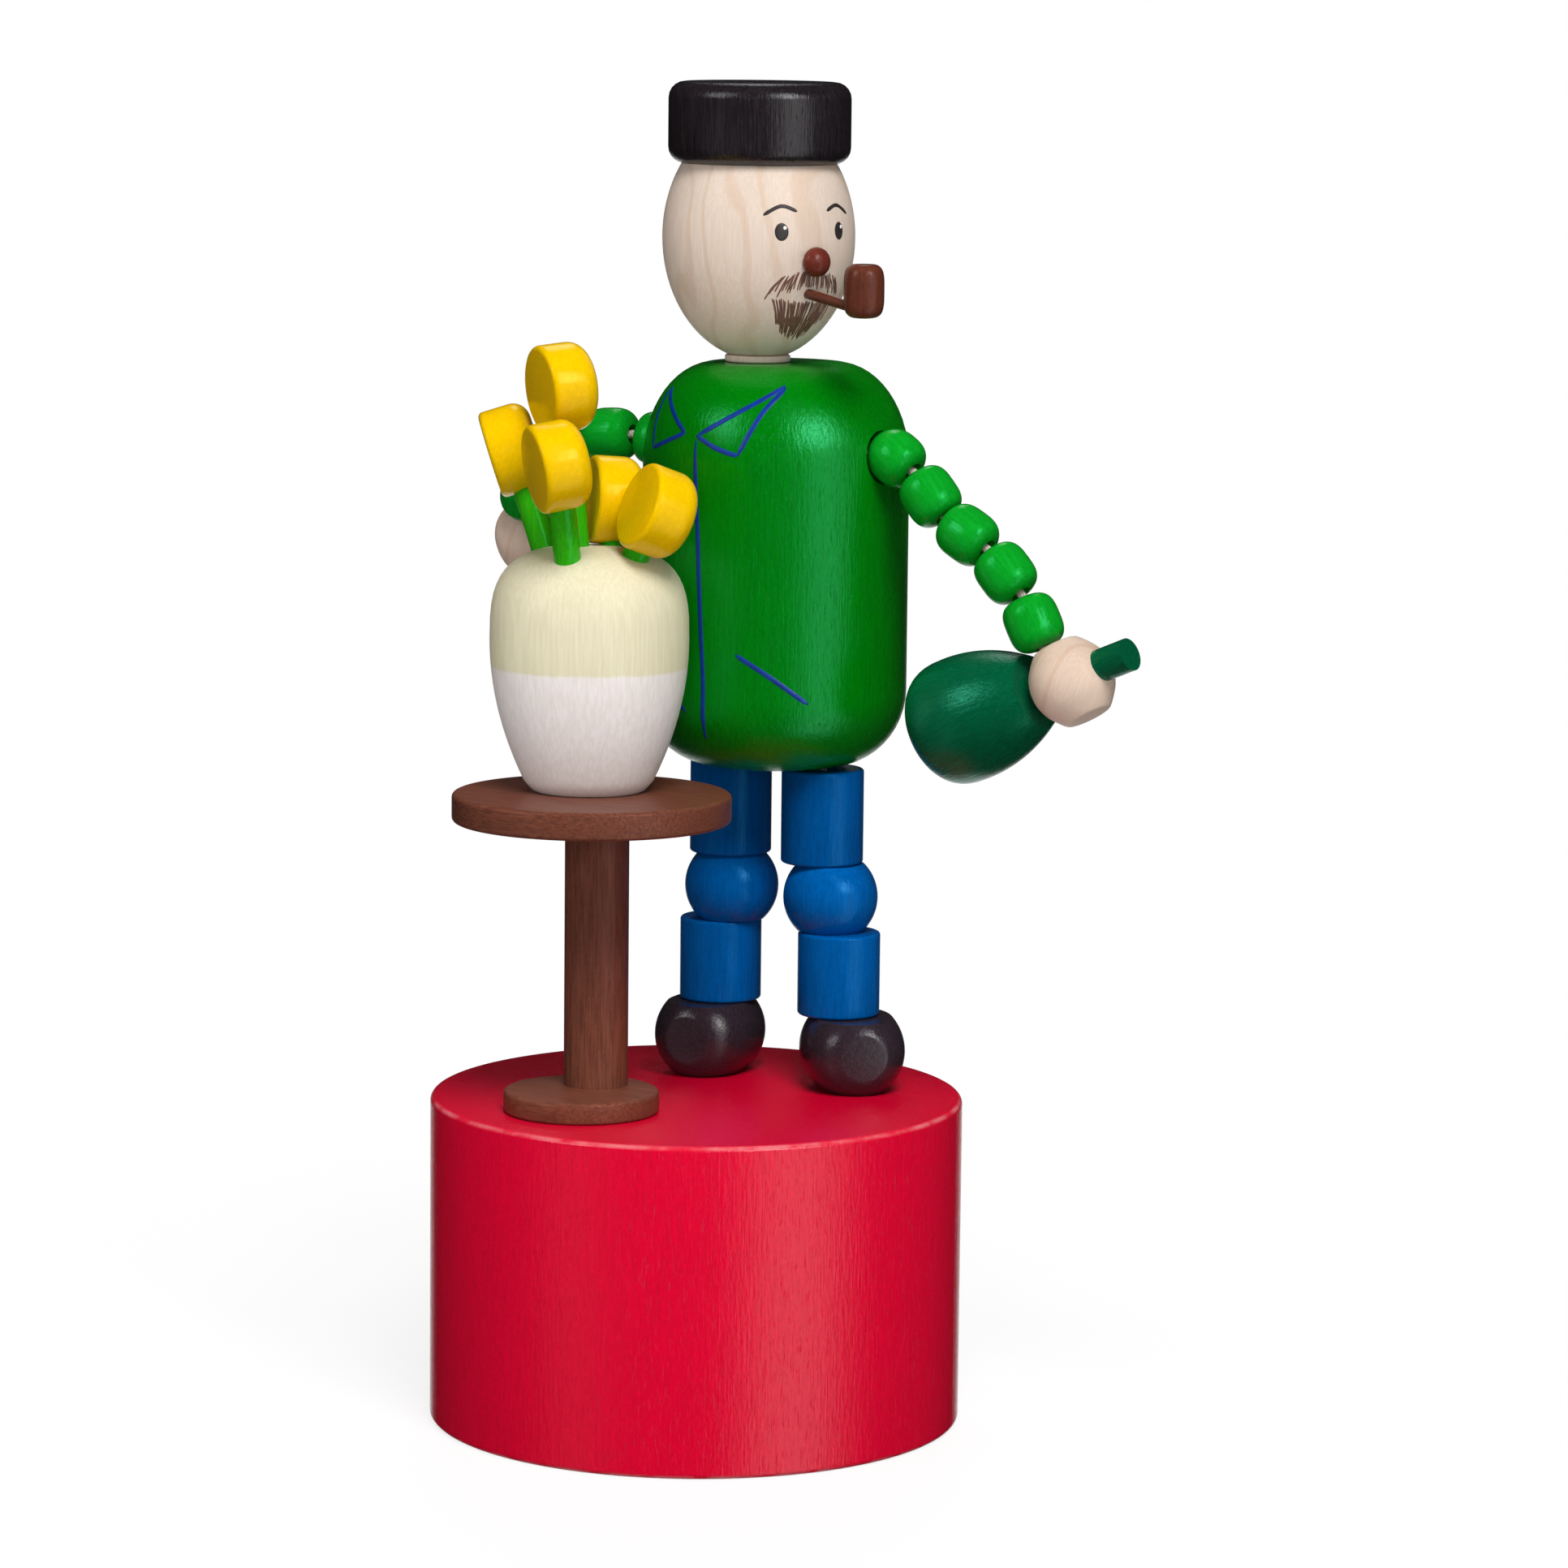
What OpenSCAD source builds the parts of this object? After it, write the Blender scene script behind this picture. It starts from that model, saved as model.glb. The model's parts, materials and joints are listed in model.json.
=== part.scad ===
// Push puppet: a strung wooden figure with a bottle, beside a small table with a vase of flowers.
// Origin on the drum's axis at its underside, +Z up, the figure faces -Y, sizes in millimetres.

/* [Drum] */
// Outer diameter of the drum
base_d = 52; // [40:0.5:70]
// Height of the drum
base_h = 32; // [24:0.5:44]
// Diameter of the hollow turned out from below
cavity_d = 40; // [30:0.5:52]
// Thickness of wood left over the hollow
roof_t = 8; // [4:0.5:12]

/* [Button and spring] */
// Clearance between the button's edge and the hollow
button_clear = 0.4; // [0.2:0.05:1]
// Thickness of the button disc
button_t = 4; // [2.5:0.5:8]
// How far the button's face lies above the drum's rim
button_recess = 5; // [3:0.5:8]
// Free travel of the button
press_travel = 6; // [3:0.5:9]
// Mean diameter of the return spring
spring_d = 15; // [10:0.5:20]
// Thickness of the spring wire
wire_d = 0.9; // [0.6:0.05:1.4]
// Number of curls in the spring
curls = 6; // [4:1:9]

/* [Cords] */
// Thickness of the cords
cord_d = 0.9; // [0.6:0.05:1.4]
// Diameter of the cord holes in the legs and the drum
leg_bore_d = 2.8; // [2:0.1:3.6]
// Diameter of the cord holes in the arm beads
arm_bore_d = 2; // [1.4:0.1:2.6]

/* [Table] */
// Diameter of the table top
top_d = 26.8; // [20:0.2:34]
// Thickness of the table top
top_t = 2.7; // [1.5:0.1:5]
// Height of the table top's upper face above the ground
table_z = 62.8; // [50:0.2:76]
// Centre of the table top, left and front
top_at = [-3.2, -12.8]; // [-20:0.1:20]
// Diameter of the table's column
column_d = 6.2; // [4:0.2:9]
// Centre of the column
column_at = [-4, -10.9]; // [-20:0.1:20]
// Diameter of the table's foot
foot_d = 15; // [10:0.2:20]
// Thickness of the foot
foot_t = 2.1; // [1.2:0.1:4]
// Centre of the foot
foot_at = [-3.4, -13.9]; // [-20:0.1:20]

/* [Vase and flowers] */
// Largest diameter of the vase
vase_d = 19.1; // [12:0.1:24]
// Height of the vase
vase_h = 23.5; // [16:0.5:32]
// Centre of the vase
vase_at = [-4.7, -11.4]; // [-20:0.1:20]
// Diameter of a flower head
flower_d = 8.5; // [6:0.2:12]
// Thickness of a flower head
flower_t = 4.8; // [3:0.2:7]
// Diameter of a flower stem
stem_d = 2.6; // [1.6:0.1:3.6]

/* [Legs] */
// Depth of the leg line behind the drum's axis
leg_y = 11.9; // [6:0.1:16]
// Diameter of thigh and shin
leg_d = 8.1; // [6:0.1:10]
// Height of the shoes
shoe_h = 7.2; // [5:0.1:10]
// Thickest diameter of the shoes
shoe_d = 10.1; // [8:0.1:13]
// Length of the shoes
shoe_l = 12.2; // [10:0.1:16]
// Length of a shin
shin_l = 8.2; // [6:0.1:12]
// Diameter of a knee ball
knee_d = 9.3; // [7:0.1:12]
// Height of a knee ball between its flats
knee_l = 6.6; // [5:0.1:9]
// Length of a thigh
thigh_l = 9.3; // [6:0.1:14]
// Sideways places of the left thigh, knee and shin
left_leg_x = [6.2, 7.3, 8.4]; // [4:0.1:12]
// Sideways places of the right thigh, knee and shin
right_leg_x = [-5, -4.8, -6.1]; // [-12:0.1:-4]

/* [Body and head] */
// Diameter of the body
body_d = 26.1; // [18:0.2:32]
// Height of the body
body_h = 39.5; // [30:0.5:52]
// Centre of the body
body_at = [0.2, 11.8]; // [-6:0.1:16]
// Diameter of the neck collar
neck_d = 6.4; // [4:0.1:9]
// Thickness of the neck collar
neck_t = 0.7; // [0.5:0.1:3]
// Diameter of the head
head_d = 18.8; // [14:0.1:22]
// Height of the head from its seat to the hat
head_h = 18.5; // [14:0.1:22]
// Centre line of head, neck and hat
head_at = [-1.3, 10.6]; // [-6:0.1:16]
// Way the face looks, turned from the figure's left hand side
face_az = -19; // [-90:1:90]
// Diameter of the hat
hat_d = 17.8; // [12:0.1:22]
// Height of the hat
hat_h = 7.9; // [4:0.1:12]

/* [Arms] */
// Height of the shoulder holes above the ground
shoulder_z = 94.5; // [88:0.1:98]
// Distance of a shoulder centre from the body's axis
shoulder_r = 14.2; // [13.4:0.1:15]
// Diameter of an arm bead
bead_d = 5.4; // [3.6:0.1:6]
// Length of an arm bead
bead_l = 5.3; // [4:0.1:7]
// Gap between neighbouring beads
bead_gap = 0.35; // [0.25:0.05:0.6]
// Diameter of a hand
hand_d = 8.2; // [6:0.1:10]
// Downward slope of each left bead and the hand
left_slope = [32, 48, 28, 46, 62, 41]; // [-40:1:90]
// Downward slope of each right bead and the hand
right_slope = [-9, 3, 19, 32, 43, 47]; // [-40:1:90]
// Sideways heading of each right bead and the hand
right_turn = [198, 185, 172, 156, 134, 106]; // [90:1:240]

/* [Bottle and pipe] */
// Largest diameter of the bottle
bottle_d = 12.3; // [9:0.1:16]
// Length of the bottle's body
bottle_l = 13.3; // [9:0.1:18]
// Diameter of the bottle's neck
bottle_neck_d = 3.2; // [2:0.1:4]
// Upward slope of the bottle's neck
bottle_slope = 22.5; // [0:0.5:50]
// Height of the bottle's axis above the hand's centre
bottle_rise = 0.4; // [0:0.1:1]
// Diameter of the pipe bowl
bowl_d = 3.9; // [2.6:0.1:5]
// Height of the pipe bowl
bowl_h = 5.2; // [3:0.1:6]
// Diameter of the pipe stem
pipe_d = 1; // [0.7:0.05:1.6]

/* [Hidden] */
$fn = 64;

// Play between strung pieces whose flat ends meet
play = 0.04;
// Overrun of a cut past a face, and depth by which joined rods run into each other
over = 1;
merge = 0.2;

// Rounded edges
drum_edge = 0.6;
button_edge = 0.5;
foot_edge = 0.35;
top_edge = 0.4;
leg_edge = 0.3;
neck_edge = 0.2;
hat_edge = 1.6;
vase_edge = 0.3;
flower_edge = 0.5;
flower_back_edge = 1.7;

// Heights of the strung stack
shin_z = base_h + shoe_h + play;
knee_z = shin_z + shin_l + play;
thigh_z = knee_z + knee_l + play;
body_z = thigh_z + thigh_l + play;
body_top = body_z + body_h;
neck_z = body_top + play;
head_z = neck_z + neck_t + play;
hat_z = head_z + head_h;

// Button and spring heights
button_z = button_recess;
button_top = button_z + button_t;
cavity_h = base_h - roof_t;
spring_play = 0.02;
spring_z0 = button_top + wire_d / 2 + spring_play;
spring_z1 = cavity_h - wire_d / 2 - spring_play;
// Spring seat on the button, and the holes that hold the cords' knots
seat_d = spring_d - wire_d - 1.8;
seat_h = 1.5;
knot_bore_d = 1.6;
knot_pocket_d = 3.2;
knot_pocket_h = 2;
spring_gap = (spring_z1 - spring_z0) / curls - wire_d;
spring_gap_pressed = (spring_z1 - spring_z0 - press_travel) / curls - wire_d;
echo(str("push_spring least gap between curls ", spring_gap, " mm, pressed ", spring_gap_pressed, " mm"));

// Table heights
foot_z = base_h;
column_z = foot_z + foot_t;
top_z = table_z - top_t;
tenon_d = column_d / 2;
tenon_h = 1.8;

// Vase shape: height of its widest place, narrowing below it and foot, as shares
vase_wide = 0.62;
vase_waist = 0.4;
vase_foot = 0.575;
vase_full = 3.1;

// Shoe shape: place and heading of each, height of its axis, flat end of the toe and fullness
left_shoe_at = [10.1, 11.9];
left_shoe_az = -43;
right_shoe_at = [-6.3, 10.6];
right_shoe_az = -78;
shoe_axis = 0.55 * shoe_h;
toe_cut = 0.35;
toe_flat = 0.42;
toe_full = 2.5;
heel_full = 2.4;

// Body shape: width and height of its rounded ends, bores and shoulder pockets
body_round = 7;
body_low = 7.5;
body_high = 9.8;
cross_bore_d = 3.4;
pocket_play = 0.6;

// Head shape: height of its widest place, stretch below and above it, tenon and bore
head_belly = 11.4;
head_wide = head_z + head_belly;
head_low = 12;
head_high = 12;
head_tenon_r = 4;
head_tenon_h = 3.5;
head_bore_h = 10;
neck_bore_d = 2.6;

// Nose bead on its peg
nose_z = head_z + 9.4;
nose_r = 8.9;
nose_d = 2.9;
nose_peg_d = 1.8;
nose_peg_l = 2.6;
nose_sunk = 2;
nose_out = 0.9;
nose_back = 0.8;
nose_front = 1.1;
nose_full = 2.2;

// Pipe: mouth hole, stem and bowl
pipe_slope = 7;
pipe_l = 10.2;
pipe_sunk = 1.2;
mouth_r = 7.6;
mouth_h = 6.4;
bowl_drop = 0.7;
bowl_full = 4;
bowl_hole_d = 0.55 * bowl_d;
bowl_hole_h = 2;

// Fullness of beads and hands
bead_full = 3.2;
hand_full = 2.35;

// Bottle shape: length of its rounded base and narrowing towards the hand, as shares
bottle_base = 0.34;
bottle_taper = 0.42;
bottle_full = 3;
bottle_gap = 0.05;

// Wood, paint and metal colours
red = [0.80, 0.04, 0.14];
green = [0.02, 0.42, 0.06];
bead_green = [0.05, 0.52, 0.10];
blue = [0.02, 0.33, 0.66];
brown = [0.36, 0.19, 0.13];
black = [0.08, 0.07, 0.08];
shoe_brown = [0.15, 0.11, 0.12];
natural = [0.87, 0.79, 0.68];
cream = [0.92, 0.89, 0.76];
yellow = [0.96, 0.78, 0.05];
bottle_green = [0.01, 0.27, 0.16];
steel = [0.72, 0.72, 0.74];
cord_white = [0.88, 0.85, 0.78];

// Unit direction from a heading and a downward slope
function dir(az, slope) = [cos(az) * cos(slope), sin(az) * cos(slope), -sin(slope)];

function unit(v) = v / norm(v);

// Points on an arc in a turning profile
function arc(c, r, a0, a1, n) = [for (i = [0:n]) let (a = a0 + (a1 - a0) * i / n) c + r * [cos(a), sin(a)]];

// Quarter of a rounded curve from the belly to one pole
function swell(r, h, n, k) = [for (i = [0:k]) let (t = 90 * i / k)
    [r * pow(cos(t), 2 / n), h * pow(sin(t), 2 / n)]];

// Mirror image of a profile below the belly
function flip(p) = [for (i = [len(p) - 1:-1:0]) [p[i][0], -p[i][1]]];

// Closed turning profile with its own fullness at each end
function barrel(r, h0, n0, h1, n1, k) = let (top = swell(r, h1, n1, k))
    concat(flip(swell(r, h0, n0, k)), [for (i = [1:k]) top[i]]);

// Cylinder profile with rounded edges
function rod(r, h, e) = concat([[0, 0]], arc([r - e, e], e, -90, 0, 5),
    arc([r - e, h - e], e, 0, 90, 5), [[0, h]]);

// Solid of a turning profile
module turned(p) {
    rotate_extrude($fn = 96) polygon(p);
}

// Places children with their +Z along a heading and slope
module aim(p, az, slope) {
    translate(p) rotate([0, 90 + slope, az]) children();
}

// Arm geometry, bead by bead; side is 1 on the left and -1 on the right, and 5 is the hand
shoulder_l = [body_at[0] + shoulder_r, body_at[1], shoulder_z];
shoulder_s = [body_at[0] - shoulder_r, body_at[1], shoulder_z];
left_turn = [0, 0, 0, 0, 0, 0];
hand_h = hand_d * 0.98;

function heading(side, i) = side > 0 ? left_turn[i] : right_turn[i];
function slope(side, i) = side > 0 ? left_slope[i] : right_slope[i];
function along(side, i) = dir(heading(side, i), slope(side, i));
function bead_at(side, i) =
    i == 0 ? (side > 0 ? shoulder_l : shoulder_s) + (bead_l - bead_d) / 2 * along(side, 0)
    : i < 5 ? bead_at(side, i - 1) + (bead_l + bead_gap) / 2 * (along(side, i - 1) + along(side, i))
    : bead_at(side, 4) + (bead_l + bead_gap) / 2 * along(side, 4) + (bead_gap + hand_h) / 2 * along(side, 5);
function bend_at(side, i) = bead_at(side, i - 1) + (bead_l + bead_gap) / 2 * along(side, i - 1);

// Flower places: stem root on the vase, head centre, heading of the flat face
flowers = [
    [[-6.0, -11.7], [-6.2, -13.7, 101.5], 240],
    [[-10.0, -11.2], [-13.8, -11.7, 95.1], 216],
    [[-3.2, -16.6], [-2.1, -19.6, 94.7], 237],
    [[-4.2, -8.6], [-4.9, -7.5, 90.4], 233],
    [[0.3, -11.6], [3.3, -11.0, 90.0], 233]];
// Depth of a stem below the vase's shoulder, and how far it stops short of the flower's centre
stem_deep = 4;
stem_short = 1.6;

function stem_from(i) = [flowers[i][0][0], flowers[i][0][1], table_z + vase_h - 1.6];
function stem_dir(i) = unit(flowers[i][1] - stem_from(i));
function stem_root(i) = stem_from(i) - stem_deep * stem_dir(i);
function stem_len(i) = norm(flowers[i][1] - stem_root(i)) - stem_short;
function stem_az(i) = atan2(stem_dir(i)[1], stem_dir(i)[0]);
function stem_slope(i) = -asin(stem_dir(i)[2]);
function face_dir(i) = let (f = [cos(flowers[i][2]), sin(flowers[i][2]), 0])
    unit(f - (f * stem_dir(i)) * stem_dir(i));

// Knots and facets of the cords and the spring
knot_r = 0.85 * cord_d;
knot_rings = 3;
cord_sides = 8;
wire_sides = 6;
curl_steps = 8;

// Round tube along a route, its thickness given ring by ring
function tube_frame(pts, i, u) = let (n = len(pts))
    let (t = unit(pts[min(i + 1, n - 1)] - pts[max(i - 1, 0)]))
    unit(u - (u * t) * t);
function tube_frames(pts, i, u) = i >= len(pts) ? []
    : let (v = tube_frame(pts, i, u)) concat([v], tube_frames(pts, i + 1, v));

module tube(pts, radii, sides) {
    n = len(pts);
    f = tube_frames(pts, 0, [0.31, 0.87, 0.39]);
    ring = [for (i = [0:n - 1])
        let (t = unit(pts[min(i + 1, n - 1)] - pts[max(i - 1, 0)]), b = cross(t, f[i]))
        for (j = [0:sides - 1]) let (a = 360 * j / sides)
            pts[i] + radii[i] * (cos(a) * f[i] + sin(a) * b)];
    side = [for (i = [0:n - 2]) for (j = [0:sides - 1]) let (k = (j + 1) % sides)
        [i * sides + j, (i + 1) * sides + j, (i + 1) * sides + k, i * sides + k]];
    first = [[for (j = [0:sides - 1]) j]];
    last = [[for (j = [sides - 1:-1:0]) (n - 1) * sides + j]];
    polyhedron(points = ring, faces = concat(side, first, last), convexity = 10);
}

// Rounds the corners of a route once
function eased(p) = concat([p[0]], [for (i = [0:len(p) - 2]) each [0.75 * p[i] + 0.25 * p[i + 1],
    0.25 * p[i] + 0.75 * p[i + 1]]], [p[len(p) - 1]]);

// Radii of a cord's rings, thicker at the knot near each end
function knotted(n, r, big, m) = [for (i = [0:n - 1]) let (k = min(i, n - 1 - i)) k > 0 && k < m ? big : r];

// Route of one arm cord: hand, beads, shoulder, across the body, down the other leg, button
function leg_route(x) = [[x[0], leg_y, body_z + 20], [x[0], leg_y, body_z + 1],
    [x[0] + 0.55 * (x[1] - x[0]), leg_y, thigh_z + 0.5], [x[1] + 0.45 * (x[2] - x[1]), leg_y, knee_z - 0.5],
    [x[2], leg_y, shin_z - 0.5], [x[2], leg_y, base_h - 3], [x[2], leg_y, button_z + 1.6],
    [x[2], leg_y, button_z + 0.5]];
function arm_route(side, depth) = concat([bead_at(side, 5) - depth * along(side, 5),
    bead_at(side, 5) - (depth + 1) * along(side, 5)],
    [for (i = [5:-1:1]) bend_at(side, i)],
    [(side > 0 ? shoulder_l : shoulder_s) - bead_d / 2 * along(side, 0)]);
left_route = concat(arm_route(1, 2.7), [[9.5, 11.3, shoulder_z + 0.8], [-3, 11.2, shoulder_z + 0.4],
    [right_leg_x[0] + 0.1, 11.1, shoulder_z - 0.6]], leg_route(right_leg_x));
right_route = concat(arm_route(-1, -2.4), [[-9.5, 12.2, shoulder_z - 0.4], [4, 12.3, shoulder_z - 0.6],
    [left_leg_x[0] - 0.1, 12.1, shoulder_z - 1.4]], leg_route(left_leg_x));
head_route = [[head_at[0], head_at[1], head_z + 9.2], [head_at[0], head_at[1], head_z + 8],
    [head_at[0], head_at[1], head_z + 4], [head_at[0], head_at[1], neck_z],
    [head_at[0], head_at[1] + 0.2, body_top - 3], [head_at[0], head_at[1] + 0.3, shoulder_z + 2.3],
    [head_at[0], head_at[1] + 0.4, shoulder_z + 1.2]];

module cord(route) {
    p = eased(eased(route));
    color(cord_white) tube(p, knotted(len(p), cord_d / 2, knot_r, knot_rings), cord_sides);
}

// Drum, hollow from below
module base_drum() {
    r = base_d / 2;
    e = drum_edge;
    c = cavity_d / 2;
    color(red) difference() {
        turned(concat([[c + e, 0]], arc([r - e, e], e, -90, 0, 5), arc([r - e, base_h - e], e, 0, 90, 5),
            [[0, base_h], [0, cavity_h], [c, cavity_h], [c, e]]));
        for (x = [left_leg_x[2], right_leg_x[2]])
            translate([x, leg_y, cavity_h - over]) cylinder(d = leg_bore_d, h = roof_t + 2 * over);
    }
}

// Button disc with a spring seat and two knot pockets
module push_button() {
    r = cavity_d / 2 - button_clear;
    color(red) difference() {
        union() {
            translate([0, 0, button_z]) turned(rod(r, button_t, button_edge));
            translate([0, 0, button_top - merge]) cylinder(d = seat_d, h = seat_h + merge);
        }
        for (x = [left_leg_x[2], right_leg_x[2]]) translate([x, leg_y, button_z - over]) {
            cylinder(d = knot_bore_d, h = button_t + 2 * over);
            cylinder(d = knot_pocket_d, h = knot_pocket_h + over);
        }
    }
}

// Return spring between button and roof
module push_spring() {
    n = curls * curl_steps;
    p = [for (i = [0:n]) let (a = 360 * i / curl_steps)
        [spring_d / 2 * cos(a), spring_d / 2 * sin(a), spring_z0 + (spring_z1 - spring_z0) * i / n]];
    color(steel) tube(p, [for (i = [0:n]) wire_d / 2], wire_sides);
}

module left_cord() {
    cord(left_route);
}

module right_cord() {
    cord(right_route);
}

module head_cord() {
    cord(head_route);
}

// Foot disc of the table
module table_foot() {
    color(brown) difference() {
        translate([foot_at[0], foot_at[1], foot_z]) turned(rod(foot_d / 2, foot_t, foot_edge));
        translate([column_at[0], column_at[1], foot_z - over]) cylinder(d = tenon_d, h = foot_t + 2 * over);
    }
}

// Column with a tenon at each end
module table_column() {
    color(brown) translate([column_at[0], column_at[1], 0]) {
        translate([0, 0, foot_z + merge]) cylinder(d = tenon_d, h = foot_t);
        translate([0, 0, column_z]) cylinder(d = column_d, h = top_z - column_z);
        translate([0, 0, top_z - merge]) cylinder(d = tenon_d, h = tenon_h + merge);
    }
}

// Table top disc
module table_top() {
    color(brown) difference() {
        translate([top_at[0], top_at[1], top_z]) turned(rod(top_d / 2, top_t, top_edge));
        translate([column_at[0], column_at[1], top_z - over]) cylinder(d = tenon_d, h = tenon_h + over);
    }
}

// Stem of one flower, which also cuts its holes
module stem_rod(i) {
    aim(stem_root(i), stem_az(i), stem_slope(i)) cylinder(d = stem_d, h = stem_len(i));
}

// Solid turned vase drilled for the stems
module vase() {
    r = vase_d / 2;
    wide = vase_h * vase_wide;
    k = 14;
    low = [for (i = [1:k]) [r * (1 - vase_waist * pow(1 - i / k, 2)), wide * i / k]];
    top = swell(r, vase_h - wide, vase_full, k);
    foot_r = r * vase_foot;
    color(cream) translate([vase_at[0], vase_at[1], table_z]) difference() {
        turned(concat([[0, 0], [foot_r - vase_edge, 0], [foot_r, vase_edge / 2]], low,
            [for (i = [1:k]) top[i] + [0, wide]]));
        translate(-[vase_at[0], vase_at[1], table_z]) for (i = [0:4]) stem_rod(i);
    }
}

// Round green stem
module flower_stem(i) {
    color(bead_green) stem_rod(i);
}

// Thick flower disc, one face flat and the other rim well rounded, set edgewise on its stem
module flower_head(i) {
    r = flower_d / 2;
    f = face_dir(i);
    s = stem_dir(i);
    b = cross(s, f);
    c = flowers[i][1];
    m = [[s[0], b[0], f[0], c[0]], [s[1], b[1], f[1], c[1]], [s[2], b[2], f[2], c[2]], [0, 0, 0, 1]];
    h = flower_t / 2;
    e0 = flower_back_edge;
    e1 = flower_edge;
    p = concat([[0, -h]], arc([r - e0, e0 - h], e0, -90, 0, 8),
        arc([r - e1, h - e1], e1, 0, 90, 5), [[0, h]]);
    color(yellow) difference() {
        multmatrix(m) turned(p);
        stem_rod(i);
    }
}

module flower_stem_1() {
    flower_stem(0);
}

module flower_stem_2() {
    flower_stem(1);
}

module flower_stem_3() {
    flower_stem(2);
}

module flower_stem_4() {
    flower_stem(3);
}

module flower_stem_5() {
    flower_stem(4);
}

module flower_head_1() {
    flower_head(0);
}

module flower_head_2() {
    flower_head(1);
}

module flower_head_3() {
    flower_head(2);
}

module flower_head_4() {
    flower_head(3);
}

module flower_head_5() {
    flower_head(4);
}

// Turned shoe lying along its toe, cut flat for the shin and for the drum
module shoe(at, az, x) {
    r = shoe_d / 2;
    half = shoe_l / 2;
    cut = half - toe_cut;
    p = concat(flip(swell(r, half, heel_full, 16)),
        [for (q = swell(r, half, toe_full, 16)) if (q[1] > 0 && q[1] < cut) q],
        [[r * toe_flat, cut], [0, cut]]);
    color(shoe_brown) difference() {
        intersection() {
            aim([at[0], at[1], base_h + shoe_axis], az, 0) turned(p);
            translate([at[0] - shoe_l, at[1] - shoe_l, base_h]) cube([2 * shoe_l, 2 * shoe_l, shoe_h]);
        }
        translate([x, leg_y, base_h - over]) cylinder(d = leg_bore_d, h = shoe_h + 2 * over);
    }
}

module left_shoe() {
    shoe(left_shoe_at, left_shoe_az, left_leg_x[2]);
}

module right_shoe() {
    shoe(right_shoe_at, right_shoe_az, right_leg_x[2]);
}

// Leg rod with eased edges and a cord hole
module leg_rod(x, z, l) {
    color(blue) translate([x, leg_y, z]) difference() {
        turned(rod(leg_d / 2, l, leg_edge));
        translate([0, 0, -over]) cylinder(d = leg_bore_d, h = l + 2 * over);
    }
}

module left_shin() {
    leg_rod(left_leg_x[2], shin_z, shin_l);
}

module right_shin() {
    leg_rod(right_leg_x[2], shin_z, shin_l);
}

// Knee ball with a flat at each end
module knee(x) {
    color(blue) translate([x, leg_y, knee_z]) difference() {
        intersection() {
            translate([0, 0, knee_l / 2]) sphere(d = knee_d);
            cylinder(d = knee_d + 2 * over, h = knee_l);
        }
        translate([0, 0, -over]) cylinder(d = leg_bore_d, h = knee_l + 2 * over);
    }
}

module left_knee() {
    knee(left_leg_x[1]);
}

module right_knee() {
    knee(right_leg_x[1]);
}

module left_thigh() {
    leg_rod(left_leg_x[0], thigh_z, thigh_l);
}

module right_thigh() {
    leg_rod(right_leg_x[0], thigh_z, thigh_l);
}

// Body with shoulder pockets, cross bore, leg bores and neck bore
module torso() {
    r = body_d / 2;
    inner = r - body_round;
    low = [for (q = flip(swell(body_round, body_low, 2, 12))) q + [inner, body_low]];
    top = [for (q = swell(body_round, body_high, 2, 14)) q + [inner, body_h - body_high]];
    color(green) difference() {
        translate([body_at[0], body_at[1], body_z]) turned(concat([[0, 0]], low, top, [[0, body_h]]));
        translate([body_at[0] - body_d, body_at[1], shoulder_z]) rotate([0, 90, 0])
            cylinder(d = cross_bore_d, h = 2 * body_d);
        for (p = [shoulder_l, shoulder_s])
            translate(p) sphere(d = bead_d + pocket_play);
        for (x = [left_leg_x[0], right_leg_x[0]])
            translate([x, leg_y, body_z - over]) cylinder(d = leg_bore_d, h = shoulder_z - body_z + over);
        translate([head_at[0], head_at[1], shoulder_z])
            cylinder(d = neck_bore_d, h = body_top - shoulder_z + over);
    }
}

// Collar the head turns on
module neck_collar() {
    color(natural) translate([head_at[0], head_at[1], neck_z]) difference() {
        turned(rod(neck_d / 2, neck_t, neck_edge));
        translate([0, 0, -over]) cylinder(d = neck_bore_d, h = neck_t + 2 * over);
    }
}

// Egg of the head with a tenon for the hat and holes for cord, nose and pipe
module head() {
    r = head_d / 2;
    up = hat_z - head_wide;
    k = 18;
    a0 = asin(-head_belly / head_low);
    a1 = asin(up / head_high);
    low = [for (i = [0:k]) let (t = a0 * (1 - i / k)) [r * cos(t), head_low * sin(t)]];
    high = [for (i = [1:k]) let (t = a1 * i / k) [r * cos(t), head_high * sin(t)]];
    color(natural) difference() {
        translate([head_at[0], head_at[1], head_wide]) turned(concat([[0, -head_belly]], low, high,
            [[head_tenon_r, up], [head_tenon_r, up + head_tenon_h], [0, up + head_tenon_h]]));
        translate([head_at[0], head_at[1], head_z - over]) cylinder(d = neck_bore_d, h = head_bore_h + over);
        nose();
        pipe_rod();
    }
}

// Round nose bead on a peg
module nose() {
    color(brown) aim([head_at[0], head_at[1], nose_z], face_az, 0) {
        translate([0, 0, nose_r - nose_sunk]) cylinder(d = nose_peg_d, h = nose_peg_l);
        translate([0, 0, nose_r + nose_out])
            turned(barrel(nose_d / 2, nose_back, nose_full, nose_front, nose_full, 10));
    }
}

// Hat with a blind hole for the head's tenon
module hat() {
    color(black) translate([head_at[0], head_at[1], hat_z]) difference() {
        turned(rod(hat_d / 2, hat_h, hat_edge));
        translate([0, 0, -over]) cylinder(r = head_tenon_r, h = head_tenon_h + over, $fn = 96);
    }
}

mouth = [head_at[0], head_at[1], head_z + mouth_h] + mouth_r * dir(face_az, 0);
bowl_at = mouth + pipe_l * dir(face_az, pipe_slope) - [0, 0, bowl_drop];

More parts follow.
